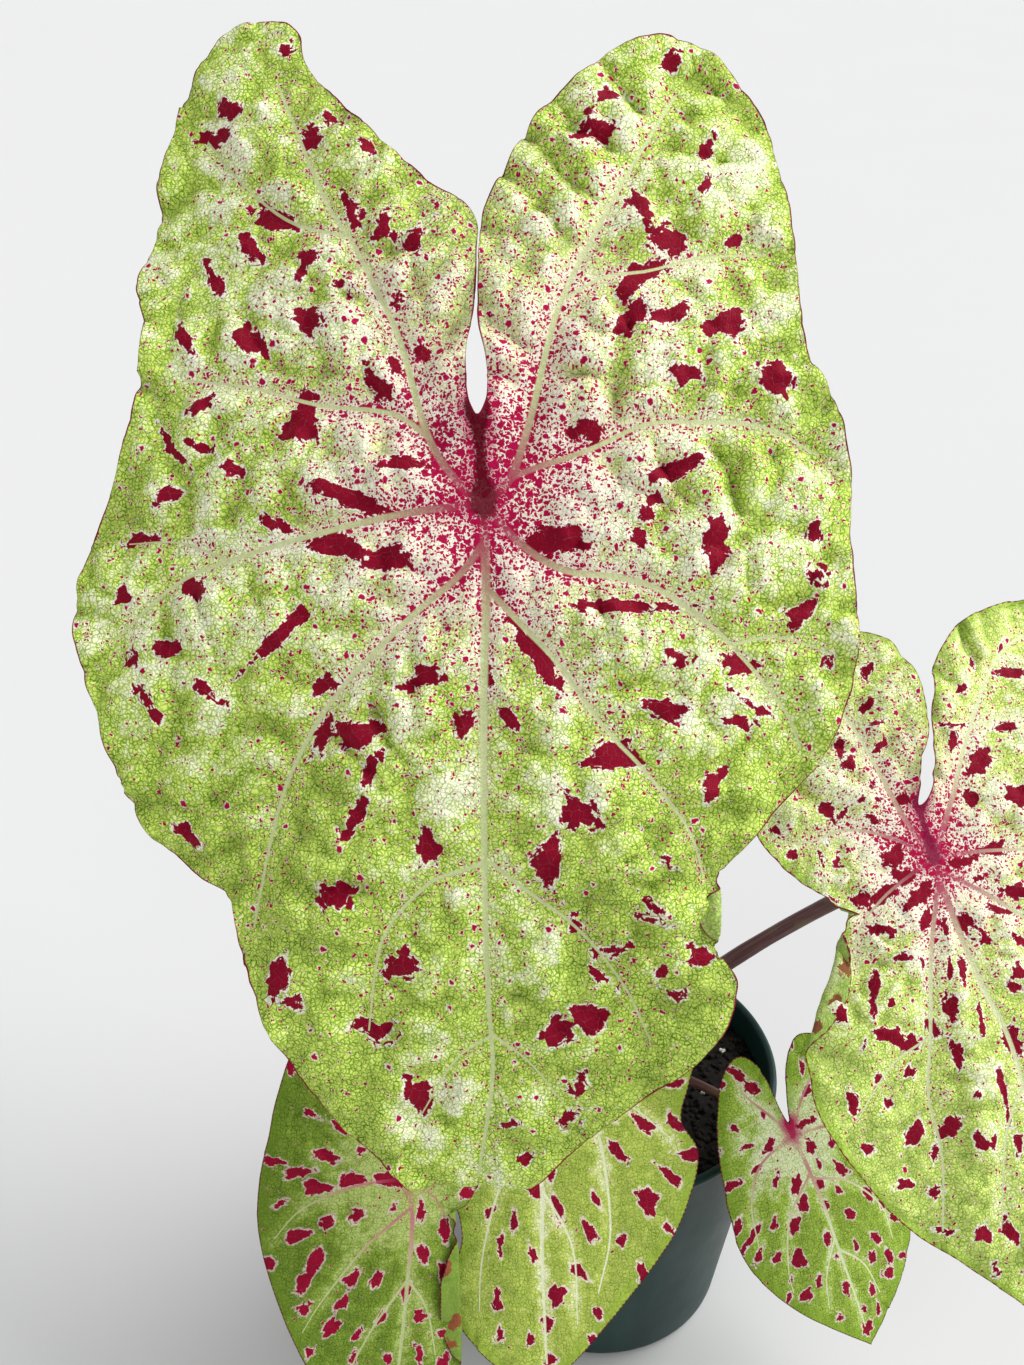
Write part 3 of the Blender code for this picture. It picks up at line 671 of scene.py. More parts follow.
def carry(leaf: Leaf, sighting: Sighting) -> list:
    """Carry judged blotches from the photograph to a blade.

    Args:
        leaf: The leaf.
        sighting: The blotches as they were judged.

    Returns:
        Rows of place, length, width and turn on the blade, only as fine as they can be judged.
    """
    rows = []
    for across, down, length, width, turn in sighting.rows:
        middle = np.array(sighting.corner) + np.array((across, down)) / sighting.zoom
        step = JUDGED_STEP * np.array((math.cos(math.radians(turn)), -math.sin(math.radians(turn))))
        centre, ahead, aside = on_blade(leaf, np.array([middle, middle + step, middle + (-step[1], step[0])]))
        long, wide = (round(size / sighting.zoom * math.dist(spot, centre) / JUDGED_STEP, 1)
                      for size, spot in ((length, ahead), (width, aside)))
        turned = round(math.degrees(math.atan2(ahead[1] - centre[1], ahead[0] - centre[0])))
        rows.append((round(centre[0]), round(centre[1]), round(2 * long) / 2, round(2 * wide) / 2,
                     5 * round(turned / 5)))
    return rows


class BladePattern:
    """Lays out one blade in its own flat millimetres: its triangles, its relief and its markings."""

    def __init__(self, leaf: Leaf) -> None:
        """Lay the triangles and measure the fields that the markings follow.

        Args:
            leaf: The leaf.
        """
        self.leaf = leaf
        self.margin = Course(leaf.outline, closed=True)
        self.ribs = [Course(vein.course) for vein in leaf.veins]
        self.spots, self.triangles = self.lay_triangles()
        self.rib_far, self.rib_share, self.pleats = self.measure_ribs()
        self.margin_far = far_from(self.spots, self.margin.even(0.7, closed=True)[1])
        self.from_stalk = np.hypot(*self.spots.T)
        self.crease = self.measure_creases()
        self.relief = self.raise_relief()
        self.height = self.packed_height() + self.relief

    def lay_triangles(self) -> tuple[np.ndarray, np.ndarray]:
        """Fill the outline with triangles whose edges run along the margin and the ribs.

        Returns:
            The flat places and the triangles that join them.
        """
        walked, ring = self.margin.even(self.leaf.cell * MARGIN_PACE, closed=True)
        places, edges = [ring], [(i, (i + 1) % len(ring)) for i in range(len(ring))]
        count = len(ring)
        for rib in self.ribs:
            line = rib.even(VEIN_PACE)[1]
            line = line[self.margin.holds(line) & (far_from(line, ring) > 1.8)]
            edges += [(count + i, count + i + 1) for i in range(len(line) - 1)]
            count += len(line)
            places.append(line)
        grid = self.lattice()
        grid = grid[(far_from(grid, ring) > 0.6 * self.leaf.cell)
                    & (far_from(grid, np.vstack(places[1:])) > 0.55 * self.leaf.cell)]
        flat = [Vector(place) for place in np.vstack([*places, grid])]
        found, _, triangles, origin, *_ = delaunay_2d_cdt(flat, edges, [], 1, 1e-6)
        spots = np.array(found)
        arcs = np.full(len(spots), np.nan)
        for index, sources in enumerate(origin):
            first = min(sources, default=len(ring))
            if first < len(ring):
                arcs[index] = walked[first]
        triangles = np.array(triangles)
        for _ in range(2):
            spots, triangles, arcs = self.halve(spots, triangles, arcs)
        return spots, triangles

    def lattice(self) -> np.ndarray:
        """Lay a triangular grid inside the margin.

        Returns:
            Its points.
        """
        cell = self.leaf.cell
        low, high = self.margin.fine.min(axis=0), self.margin.fine.max(axis=0)
        rows = np.arange(math.floor(low[1] / (cell * 0.866)), math.ceil(high[1] / (cell * 0.866)) + 1)
        columns = np.arange(math.floor(low[0] / cell) - 1, math.ceil(high[0] / cell) + 1)
        j, i = np.meshgrid(rows, columns, indexing="ij")
        grid = np.column_stack([((i + 0.5 * (j % 2)) * cell).ravel(), (j * cell * 0.866).ravel()])
        return grid[self.margin.holds(grid)]

    def halve(self, spots: np.ndarray, triangles: np.ndarray, arcs: np.ndarray) -> tuple:
        """Split each triangle in four, with new margin points on the margin's curve.

        Args:
            spots: Flat places.
            triangles: Their triangles.
            arcs: Length along the margin of each place on it, and no number elsewhere.

        Returns:
            The finer places, triangles and lengths along the margin.
        """
        pairs = np.sort(np.vstack([triangles[:, (0, 1)], triangles[:, (1, 2)], triangles[:, (2, 0)]]), axis=1)
        sides, back, uses = np.unique(pairs, axis=0, return_inverse=True, return_counts=True)
        middles = spots[sides].mean(axis=1)
        middle_arcs = np.full(len(sides), np.nan)
        rim = (uses == 1) & ~np.isnan(arcs[sides]).any(axis=1)
        ends = np.sort(arcs[sides[rim]], axis=1)
        wraps = ends[:, 1] - ends[:, 0] > self.margin.length / 2
        ends[wraps, 0] += self.margin.length
        middle_arcs[rim] = ends.mean(axis=1) % self.margin.length
        middles[rim] = self.margin.at(middle_arcs[rim])
        ab, bc, ca = back.reshape(3, len(triangles)) + len(spots)
        a, b, c = triangles.T
        parts = ((a, ab, ca), (ab, b, bc), (ca, bc, c), (ab, bc, ca))
        finer = np.vstack([np.column_stack(three) for three in parts])
        return np.vstack([spots, middles]), finer, np.concatenate([arcs, middle_arcs])

    def measure_ribs(self) -> tuple[np.ndarray, np.ndarray, np.ndarray]:
        """Measure the way to the nearest rib and the pleats that run off the ribs.

        Returns:
            The way in millimetres, the way in the rib's half widths, and the pleats' height from 0 to 1.
        """
        far = np.full(len(self.spots), 60.0)
        share = np.full(len(self.spots), 20.0)
        pleats, weights = np.zeros(len(self.spots)), np.full(len(self.spots), 1e-9)
        pace = PLEAT_PACE * (0.5 + 0.5 * min(1.0, self.leaf.extent / 100))
        wander = 0.55 * ripple(self.spots, 19.0, self.leaf.seed + 21.0) + 0.2 * ripple(self.spots, 7.0, 3.0)
        for order, (vein, rib) in enumerate(zip(self.leaf.veins, self.ribs)):
            walked, line = rib.even(2.5)
            start, run = line[:-1], np.diff(line, axis=0)
            low, high = line.min(axis=0) - RIB_SIGHT, line.max(axis=0) + RIB_SIGHT
            near = (self.spots > low).all(axis=1) & (self.spots < high).all(axis=1)
            offset = self.spots[near, None] - start[None]
            along = np.clip((offset * run).sum(axis=2) / (run ** 2).sum(axis=1), 0.0, 1.0)
            gaps = np.hypot(*np.moveaxis(offset - along[..., None] * run, 2, 0))
            best = gaps.argmin(axis=1)
            rows = np.arange(len(best))
            passed, gap = (best + along[rows, best]) / len(run), gaps[rows, best]
            width = vein.start + (vein.end - vein.start) * passed
            side = np.sign(run[best, 0] * offset[rows, best, 1] - run[best, 1] * offset[rows, best, 0])
            phase = (passed * rib.length - 0.45 * gap) / pace + 0.3 * side + 0.37 * order + wander[near]
            weight = np.exp(-gap / 2.6)
            pleats[near] += weight * np.abs(np.sin(np.pi * phase)) ** 0.8
            weights[near] += weight
            far[near] = np.minimum(far[near], gap)
            share[near] = np.minimum(share[near], gap / width)
        return far, share, pleats / weights

    def measure_creases(self) -> np.ndarray:
        """Measure the way to the creases between the puffed quilts.

        Returns:
            The way in millimetres.
        """
        chance = random.Random(self.leaf.seed)
        pace = QUILT_PACE * (0.55 + 0.45 * min(1.0, self.leaf.extent / 100))
        low, high = self.spots.min(axis=0) - pace, self.spots.max(axis=0) + pace
        seeds = np.array([(x + chance.uniform(-0.45, 0.45) * pace, y + chance.uniform(-0.45, 0.45) * pace)
                          for x in np.arange(low[0], high[0], pace)
                          for y in np.arange(low[1], high[1], pace)])
        sway = [ripple(self.spots, 8.0, self.leaf.seed + part) for part in (31, 32)]
        wavy = self.spots + 2.6 * np.column_stack(sway)
        gaps = np.hypot(wavy[:, None, 0] - seeds[None, :, 0], wavy[:, None, 1] - seeds[None, :, 1])
        nearest = np.partition(gaps, 1, axis=1)
        return (nearest[:, 1] - nearest[:, 0]) / 2

    def packed_height(self) -> np.ndarray:
        """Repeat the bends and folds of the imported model.

        Returns:
            The height of each place.
        """
        leaf, (x, y) = self.leaf, self.spots.T
        height = bent_height(leaf, x, y)
        angle = np.degrees(np.arctan2(y, x))
        grow = np.minimum(self.from_stalk / leaf.reach, FOLD_LIMIT) ** FOLD_POWER
        for centre, spread, lift in leaf.folds:
            away = (angle - centre + 180) % 360 - 180
            height += lift * grow * np.exp(-((away / spread) ** 2))
        return height

    def raise_relief(self) -> np.ndarray:
        """Raise the pleats off the ribs, the puffed quilts and the folds, and sink the ribs and creases.

        Returns:
            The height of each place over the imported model's.
        """
        leaf, form = self.leaf, Relief()
        spots, rib_far, seed = self.spots, self.rib_far, self.leaf.seed
        calm = rise_between(self.from_stalk, 4.0, 20.0)
        off_rib = rise_between(rib_far, 0.8, 6.0)
        strong = 0.75 + 0.6 * ripple(spots, 34.0, seed + 13.0)
        puffed = form.puff * (1 - np.exp(-((rib_far / form.puff_reach) ** 1.4)))
        puffed = puffed - form.groove * np.exp(-((rib_far / form.groove_reach) ** 2))
        pleats = form.pleat * self.pleats - form.pleat_base
        quilts = form.quilt * (1 - np.exp(-self.crease / form.quilt_reach)) - form.quilt_base
        folds = (form.fold * np.abs(ripple(spots, form.fold_size, seed))
                 + form.small_fold * np.abs(ripple(spots, form.small_fold_size, seed + 5.0)))
        crisp = form.crisp * ripple(spots, form.crisp_size, seed + 7.0)
        wave = form.frill * ripple(spots, form.frill_size, seed + 9.0)
        frill = wave * np.exp(-self.margin_far / form.frill_reach)
        broad = (strong * (pleats + quilts) + folds - form.fold_base) * off_rib
        return leaf.relief * calm * (puffed + broad + crisp + frill)

    def rolled(self) -> tuple[np.ndarray, np.ndarray]:
        """Roll the curled stretches of the margin over their fold lines.

        Returns:
            The flat places and the heights after the roll.
        """
        spots, height = self.spots.copy(), self.height.copy()
        for curl in self.leaf.curls:
            first, last = np.array(curl.first, float), np.array(curl.last, float)
            run = last - first
            span = np.hypot(*run)
            run /= span
            outward = np.array((run[1], -run[0]))
            offset = spots - first
            past, along = offset @ outward, offset @ run
            moved = (past > 0) & (past < 26) & (along > -0.12 * span) & (along < 1.12 * span)
            turn = math.radians(abs(curl.turn))
            angle = np.minimum(past / curl.radius, turn)
            rest = np.maximum(past - curl.radius * turn, 0.0)
            out = curl.radius * np.sin(angle) + rest * math.cos(turn)
            lift = curl.radius * (1 - np.cos(angle)) + rest * math.sin(turn)
            spots[moved] += ((out - past)[:, None] * outward)[moved]
            height[moved] += (math.copysign(1.0, curl.turn) * lift)[moved]
        return spots, height

    def place_marks(self) -> list:
        """Place the blotches that were judged, then those set by rule where the others leave room.

        Returns:
            Rows of place, length, width and turn.
        """
        leaf, chance = self.leaf, random.Random(leaf_seed(self.leaf, 3))
        marks = [row for group in leaf.marks
                 for row in (carry(leaf, group) if isinstance(group, Sighting) else group)]
        wanted = len(marks) + leaf.scatter
        taken = [mark[:2] for mark in marks]
        low, high = self.margin.fine.min(axis=0), self.margin.fine.max(axis=0)
        tries = [(chance.uniform(low[0], high[0]), chance.uniform(low[1], high[1]))
                 for _ in range(leaf.scatter * 30)]
        inside = self.margin.holds(np.array(tries)) if tries else []
        for (x, y), held in zip(tries, inside):
            small, large = leaf.scatter_size
            room = min((math.hypot(x - a, y - b) for a, b in taken), default=99.0)
            if held and len(marks) < wanted and room > 1.45 * large and math.hypot(x, y) > 4:
                size = chance.uniform(small, large)
                turn = math.degrees(math.atan2(y, x)) + chance.uniform(-25, 25)
                marks.append((x, y, size * chance.uniform(1.1, 1.9), size * chance.uniform(0.7, 1.0), turn))
                taken.append((x, y))
        return marks

    def blotches(self) -> np.ndarray:
        """Measure how deep each place lies inside the nearest blotch.

        Returns:
            The depth in millimetres, below 0 outside.
        """
        chance = random.Random(leaf_seed(self.leaf, 4))
        depth = np.full(len(self.spots), -6.0)
        for x, y, length, width, turn in self.place_marks():
            offset = self.spots - (x, y)
            near = np.hypot(*offset.T) < length + 6
            offset = offset[near]
            c, s = math.cos(math.radians(turn)), math.sin(math.radians(turn))
            along, aside = offset @ (c, s), offset @ (-s, c)
            lean = np.arctan2(aside / width, along / length)
            waves = (chance.uniform(0.08, 0.3) / n ** 0.35 * np.sin(n * lean + chance.uniform(0, 6.28))
                     for n in (2, 3, 5, 8))
            ragged = 1 + sum(waves)
            out = np.hypot(along / (0.5 * length), aside / (0.5 * width)) / ragged
            depth[near] = np.maximum(depth[near], (1 - out) * 0.5 * math.sqrt(length * width) * 0.8)
        return depth

    def tones(self) -> np.ndarray:
        """Measure how green, how finely specked and how flushed each place is, with painted shade in the
        relief's hollows and creases.

        Returns:
            The three shares of each place.
        """
        leaf, paint, tone, (x, y) = self.leaf, self.leaf.paint, Tone(), self.spots.T
        rib_far, rim_far, seed = self.rib_far, self.margin_far, leaf.seed
        reach = self.from_stalk / leaf.extent
        wide = tone.feather_reach * leaf.extent / LEAVES[0].extent
        # Painted shade: the relief's hollows and creases turn greener and darker and its crests paler, partly
        # the leaf's own colour and partly painted shade and light.
        hollow_shade = np.clip((0.9 - self.relief / leaf.relief) / 1.6, -1, 1)
        hollow_shade = hollow_shade + tone.crease * np.exp(-self.crease / tone.crease_shade_reach)
        feathers = rise_between(rib_far, 0.12 * wide, wide) * rise_between(reach, 0.1, 0.5)
        clouds = (tone.cloud * ripple(self.spots, tone.cloud_size, seed + 2.0)
                  + tone.cloud * ripple(self.spots, tone.small_cloud_size, seed + 3.0))
        sides = tone.tip + tone.tip_sides * rise_between(np.abs(x) / leaf.extent, 0.04, 0.3)
        green = (tone.green + paint.feather * feathers + paint.cloud * clouds
                 + tone.hollow_shade * hollow_shade * rise_between(reach, 0.05, 0.4)
                 + sides * rise_between(-y / leaf.extent, 0.2, 0.8)
                 + tone.rim * np.exp(-rim_far / tone.rim_reach) + paint.green_bias)
        upper = np.where(y > 0, 1.0, 0.62)
        heart = np.hypot(x, np.where(y > 0, 0.55, 1.05) * y) / leaf.extent
        strewn = np.exp(-reach) * upper * (1 + ripple(self.spots, tone.strewn_size, seed + 4.0))
        beside = np.exp(-rib_far / tone.rib_speck_reach) * (1.15 - 0.75 * reach)
        speck = paint.speck * (tone.heart_speck * np.exp(-((heart / tone.heart_reach) ** 2))
                               + tone.stalk_speck * np.exp(-heart / tone.stalk_reach)
                               + tone.rib_speck * beside + tone.strewn_speck * strewn + tone.least_speck)
        lobe_x, lobe_y = leaf.sinus
        up = np.clip(y / lobe_y, 0.0, 1.0)
        line = np.hypot(x - up * lobe_x, y - up * lobe_y)
        from_sinus = np.hypot(x - lobe_x, y - lobe_y)
        lip = np.exp(-rim_far / tone.lip_reach) * np.exp(-((from_sinus / (0.8 * leaf.flush)) ** 2))
        near_rib = np.exp(-((rib_far / tone.rib_flush_reach) ** 2))
        near_rib = near_rib * np.exp(-((self.from_stalk / (2.2 * leaf.flush)) ** 2))
        flush = (np.exp(-((line / (0.2 * leaf.flush)) ** 1.3))
                 + tone.stalk_flush * np.exp(-self.from_stalk / leaf.flush)
                 + tone.line_flush * np.exp(-line / (0.4 * leaf.flush))
                 + tone.rib_flush * near_rib + tone.lip_flush * lip)
        return np.column_stack([np.clip(green, 0, 1), np.clip(speck, 0, 1.4), np.clip(flush, 0, 1.5)])

    def make(self, material: bpy.types.Material) -> bpy.types.Object:
        """Raise the blade into the frame as a thin closed shell that carries its fields.

        Args:
            material: The blade's finish.

        Returns:
            The blade's object.
        """
        flat, height = self.rolled()
        place, across, up, normal = (np.array(vector) for vector in blade_frame(self.leaf))
        upper = place + flat[:, :1] * across + flat[:, 1:] * up + height[:, None] * normal
        facets = np.cross(upper[self.triangles[:, 1]] - upper[self.triangles[:, 0]],
                          upper[self.triangles[:, 2]] - upper[self.triangles[:, 0]])
        facing = np.zeros_like(upper)
        for corner in range(3):
            np.add.at(facing, self.triangles[:, corner], facets)
        facing /= np.maximum(np.linalg.norm(facing, axis=1, keepdims=True), 1e-9)
        thin = BLADE_THICKNESS * (0.45 + 0.55 * rise_between(self.margin_far, 0.0, 2.0))
        lower = upper - thin[:, None] * facing
        count = len(upper)
        runs = np.vstack([self.triangles[:, (0, 1)], self.triangles[:, (1, 2)], self.triangles[:, (2, 0)]])
        known = {(a, b) for a, b in runs.tolist()}
        rim = [(a, b) for a, b in known if (b, a) not in known]
        faces = self.triangles.tolist() + (self.triangles[:, ::-1] + count).tolist()
        faces += [(b, a, count + a, count + b) for a, b in rim]
        mesh = bpy.data.meshes.new(self.leaf.name + "_dressed")
        mesh.from_pydata((np.vstack([upper, lower]) * MM).tolist(), [], faces)
        side = np.repeat([Face.UPPER.value, Face.LOWER.value], count)
        fields = {
            "leaf_place": np.column_stack([np.tile(self.spots, (2, 1)), side]),
            "leaf_marks": np.column_stack([np.tile(value, 2) for value in
                                           (self.blotches(), self.rib_share, self.crease)]),
            "leaf_tone": np.tile(self.tones(), (2, 1)),
            "leaf_edge": np.column_stack([np.tile(self.margin_far, 2), np.tile(self.rib_far, 2), side]),
        }
        for name, values in fields.items():
            mesh.attributes.new(name, "FLOAT_VECTOR", "POINT").data.foreach_set("vector", values.ravel())
        mesh.materials.append(material)
        mesh.shade_smooth()
        mesh.set_sharp_from_angle(angle=math.radians(80))
        return link(bpy.data.objects.new(self.leaf.name + "_dressed", mesh))


def leaf_seed(leaf: Leaf, part: int) -> int:
    """Give the fixed seed of one of a leaf's random choices."""
    return leaf.seed * 10 + part


def link(thing: bpy.types.Object) -> bpy.types.Object:
    """Put an object into the scene and give it back."""
    bpy.context.scene.collection.objects.link(thing)
    return thing


def add_node(tree: bpy.types.NodeTree, kind: str, inputs: dict, give: int | str = 0,
             **settings: object) -> bpy.types.NodeSocket:
    """Add a node with its settings and links.

    Args:
        tree: The node tree that it goes into.
        kind: The node's type.
        inputs: A number, a hex colour or another node's output for each input, by its name or place.
        give: Name or place of the output that is wanted.
        settings: The node's own settings.

    Returns:
        The wanted output.
    """
    made = tree.nodes.new(kind)
    for key, value in settings.items():
        setattr(made, key, value)
    for key, value in inputs.items():
        if isinstance(value, bpy.types.NodeSocket):
            tree.links.new(value, made.inputs[key])
        else:
            made.inputs[key].default_value = hex_colour(value) if isinstance(value, str) else value
    return made.outputs[give]


class Finish:
    """A material in the making: one principled shader and the nodes that feed it."""

    def __init__(self, name: str) -> None:
        """Start an empty material with its shader joined to the output.

        Args:
            name: The material's name.
        """
        self.material = bpy.data.materials.new(name)
        self.material.use_nodes = True
        self.tree = self.material.node_tree
        self.shader = self.tree.nodes["Principled BSDF"]
        self.add = partial(add_node, self.tree)

    def set(self, **values: object) -> None:
        """Set or link the shader's own inputs.

        Args:
            values: A number or a node's output for each, named with underscores for spaces.
        """
        for key, value in values.items():
            socket = self.shader.inputs[key.replace("_", " ")]
            if isinstance(value, bpy.types.NodeSocket):
                self.tree.links.new(value, socket)
            else:
                socket.default_value = value


class LeafCoat(Finish):
    """A leaf's material in the making: its nets, specks and blotches, laid over its pale areoles."""

    def __init__(self, paint: LeafPaint) -> None:
        """Read the blade's fields and lay the noises and cells that the layers share.

        Args:
            paint: Colours and amounts.
        """
        super().__init__(paint.name)
        add, self.paint = self.add, paint
        self.place = add(Node.FIELD, {}, "Vector", attribute_name="leaf_place")
        self.marks, self.tone, self.edge = (
            add(Node.AXES, {0: add(Node.FIELD, {}, "Vector", attribute_name=name)}).node.outputs
            for name in ("leaf_marks", "leaf_tone", "leaf_edge"))
        sway = add(Node.NOISE, {"Vector": self.place, "Scale": 0.7, "Detail": 2.0}, "Color", **PLANE)
        sway = add(Node.VECTOR, {0: sway, 1: (0.5, 0.5, 0.5)}, operation="SUBTRACT")
        sway = add(Node.VECTOR, {0: sway, "Scale": 1.3}, operation="SCALE")
        self.swayed = add(Node.VECTOR, {0: self.place, 1: sway}, operation="ADD")
        base = {"Vector": self.place, "Roughness": 0.6}
        self.fine = add(Node.NOISE, {"Scale": 0.45, "Detail": 4.0, **base}, **PLANE)
        self.grain = add(Node.NOISE, {"Scale": 2.2, "Detail": 3.0, **base}, **PLANE)
        small = {"Vector": self.swayed, "Scale": 1 / paint.net, "Randomness": 0.9}
        large = {"Vector": self.swayed, "Scale": 1 / paint.coarse, "Randomness": 0.95}
        self.gap, self.wide_gap = (
            add(Node.CELLS, cells, "Distance", feature="DISTANCE_TO_EDGE", **PLANE_CELLS)
            for cells in (small, large))
        self.cell, self.field = (
            add(Node.CHANNELS, {0: add(Node.CELLS, cells, "Color", **PLANE_CELLS)}).node.outputs
            for cells in (small, large))

    def nets(self) -> tuple:
        """Weave the small and the coarse net over the areoles; all deepen where the leaf is greener.

        Returns:
            The colour so far, and where the small and the coarse net run.
        """
        # The green share carries the painted shade of the relief's hollows and creases.
        add, paint, amount = self.add, self.paint, self.tone[0]
        for texture, share in ((self.fine, 1.1), (self.grain, 0.7), (self.field[0], 0.14)):
            amount = add(Node.MATH, {0: texture, 1: share, 2: amount}, operation="MULTIPLY_ADD")
        green = add(Node.RANGE, {0: amount, 1: 0.98, 2: 1.62}, **SMOOTH)
        deep = add(Node.RANGE, {0: amount, 1: 1.45, 2: 2.05}, **SMOOTH)
        areole = add(Node.MIX, {0: green, 6: paint.areole_pale, 7: paint.areole_green}, 2, **COLOURS)
        thread = add(Node.MIX, {0: green, 6: paint.net_pale, 7: paint.net_green}, 2, **COLOURS)
        thread = add(Node.MIX, {0: deep, 6: thread, 7: paint.net_deep}, 2, **COLOURS)
        width = add(Node.RANGE, {0: green, 1: 0.0, 2: 1.0, 3: 0.15, 4: 0.3})
        small = add(Node.RANGE, {0: self.gap, 1: 0.02, 2: width, 3: 1.0, 4: 0.0}, **SMOOTH)
        luck = add(Node.RANGE, {0: self.cell[0], 1: 0.0, 2: 1.0, 3: 0.55, 4: 1.0})
        share = add(Node.MATH, {0: small, 1: luck}, operation="MULTIPLY")
        soak = add(Node.RANGE, {0: deep, 1: 0.0, 2: 1.0, 3: 0.0, 4: 0.4})
        share = add(Node.MATH, {0: share, 1: soak}, operation="MAXIMUM")
        base = add(Node.MIX, {0: share, 6: areole, 7: thread}, 2, **COLOURS)
        coarse = add(Node.RANGE, {0: self.wide_gap, 1: 0.008, 2: 0.055, 3: 0.62, 4: 0.0}, **SMOOTH)
        cord = add(Node.MIX, {0: 0.4, 6: thread, 7: paint.net_deep}, 2, **COLOURS)
        return add(Node.MIX, {0: coarse, 6: base, 7: cord}, 2, **COLOURS), small, coarse

    def blotches(self) -> tuple:
        """Notch the blotches along the cells of the net, and ring them on the upper face.

        Returns:
            Where the blotches lie and where their pale rings do.
        """
        add, jag, depth = self.add, self.paint.jag, self.marks[0]
        for texture, share in ((self.field[1], 1.7 * jag), (self.cell[1], 0.6 * jag), (self.grain, 0.7)):
            depth = add(Node.MATH, {0: texture, 1: share, 2: depth}, operation="MULTIPLY_ADD")
        brim = jag + 0.25
        spot = add(Node.RANGE, {0: depth, 1: brim, 2: brim + 0.15}, **SMOOTH)
        veined = add(Node.RANGE, {0: self.wide_gap, 1: 0.003, 2: 0.02, 3: 0.93, 4: 1.0})
        spot = add(Node.MATH, {0: spot, 1: veined}, operation="MULTIPLY")
        ring = add(Node.RANGE, {0: depth, 1: brim - 0.5, 2: brim - 0.05, 3: 0.0, 4: 0.78}, **SMOOTH)
        upper = add(Node.MATH, {0: 1.0, 1: self.edge[2]}, operation="SUBTRACT")
        return spot, add(Node.MATH, {0: ring, 1: upper}, operation="MULTIPLY")

    def specks(self) -> tuple:
        """Strew the fine specks and the larger flecks, each with its pale ring.

        Returns:
            Where they lie and where their rings do.
        """
        add, specks, rings = self.add, [], []
        crowd = add(Node.RANGE, {0: self.tone[1], 1: 0.7, 2: 1.4, 3: 0.0, 4: 0.25})
        for pace, share, low, high in ((0.68, 1.1, 0.08, 0.52), (2.0, 0.32 * self.paint.fleck, 0.08, 0.34)):
            dots = {"Vector": self.swayed, "Scale": 1 / pace, "Randomness": 1.0}
            dot = add(Node.CELLS, dots, "Distance", **PLANE_CELLS)
            luck = add(Node.CHANNELS, {0: add(Node.CELLS, dots, "Color", **PLANE_CELLS)}).node.outputs
            size = add(Node.RANGE, {0: luck[0], 1: 0.0, 2: 1.0, 3: low, 4: high})
            size = add(Node.MATH, {0: self.grain, 1: 0.14, 2: size}, operation="MULTIPLY_ADD")
            size = add(Node.MATH, {0: size, 1: crowd}, operation="ADD")
            inside = add(Node.MATH, {0: size, 1: dot}, operation="SUBTRACT")
            wanted = add(Node.MATH, {0: self.tone[1], 1: share}, operation="MULTIPLY")
            wanted = add(Node.MATH, {0: luck[1], 1: wanted}, operation="LESS_THAN")
            for found, start, full in ((specks, 0.02, 0.12), (rings, -0.16, 0.0)):
                mask = add(Node.RANGE, {0: inside, 1: start, 2: full}, **SMOOTH)
                found.append(add(Node.MATH, {0: mask, 1: wanted}, operation="MULTIPLY"))
        speck, pale = (add(Node.MATH, {0: fine, 1: large}, operation="MAXIMUM")
                       for fine, large in (specks, rings))
        return speck, add(Node.MATH, {0: pale, 1: 0.6}, operation="MULTIPLY")

    def ribs(self) -> tuple:
        """Colour the ribs, which are wine red near the stalk and sink into the heart of the leaf.

        Returns:
            Where the ribs lie, and their colour.
        """
        add, paint = self.add, self.paint
        far = add(Node.VECTOR, {0: self.place}, 1, operation="LENGTH")
        wine = add(Node.RANGE, {0: far, 1: 5.0, 2: 32.0, 3: 1.0, 4: 0.0}, **SMOOTH)
        rib = add(Node.RANGE, {0: self.marks[1], 1: 0.7, 2: 1.25, 3: 0.92, 4: 0.0}, **SMOOTH)
        clear = add(Node.RANGE, {0: far, 1: 2.5, 2: 12.0, 3: 0.14, 4: 1.0}, **SMOOTH)
        rib = add(Node.MATH, {0: rib, 1: clear}, operation="MULTIPLY")
        return rib, add(Node.MIX, {0: wine, 6: paint.rib, 7: paint.rib_wine}, 2, **COLOURS)

    def make(self) -> bpy.types.Material:
        """Lay each layer over the last one, from the nets up to the margin line.

        Returns:
            A satin material whose fine net, bounded spots and crimson margin read as a real caladium leaf.
        """
        add, paint = self.add, self.paint
        base, small, coarse = self.nets()
        spot, ring = self.blotches()
        speck, pale = self.specks()
        blush = add(Node.RANGE, {0: self.tone[1], 1: 0.3, 2: 0.95, 3: 0.0, 4: 0.62}, **SMOOTH)
        crimson = add(Node.MIX, {0: self.grain, 6: paint.spot, 7: paint.spot_deep}, 2, **COLOURS)
        flush = add(Node.MATH, {0: self.grain, 1: 0.5, 2: self.tone[2]}, operation="MULTIPLY_ADD")
        haze = add(Node.RANGE, {0: flush, 1: 0.4, 2: 1.0, 3: 0.0, 4: 0.88}, **SMOOTH)
        heart = add(Node.RANGE, {0: flush, 1: 0.95, 2: 1.45, 3: 0.0, 4: 0.96}, **SMOOTH)
        veil = add(Node.RANGE, {0: spot, 1: 0.0, 2: 1.0, 3: 0.5, 4: 0.2})
        back = add(Node.MATH, {0: self.edge[2], 1: veil}, operation="MULTIPLY")
        hem = add(Node.RANGE, {0: self.edge[0], 1: 0.22, 2: 0.5, 3: 1.0, 4: 0.0}, **SMOOTH)
        layers = [(blush, paint.blush), (ring, paint.halo), (haze, paint.haze), (pale, paint.halo),
                  (speck, paint.fleck_colour), (spot, crimson), (heart, paint.heart), self.ribs(),
                  (back, paint.back), (hem, paint.margin)]
        if paint.band:
            span = {1: paint.band * 0.4, 2: paint.band + 0.01, 3: 0.55, 4: 0.0}
            layers.insert(1, (add(Node.RANGE, {0: self.edge[0], **span}), paint.net_green))
        for share, colour in layers:
            base = add(Node.MIX, {0: share, 6: base, 7: colour}, 2, **COLOURS)
        rough = add(Node.RANGE, {0: self.fine, 1: 0.3, 2: 0.7, 3: 0.5, 4: 0.64})
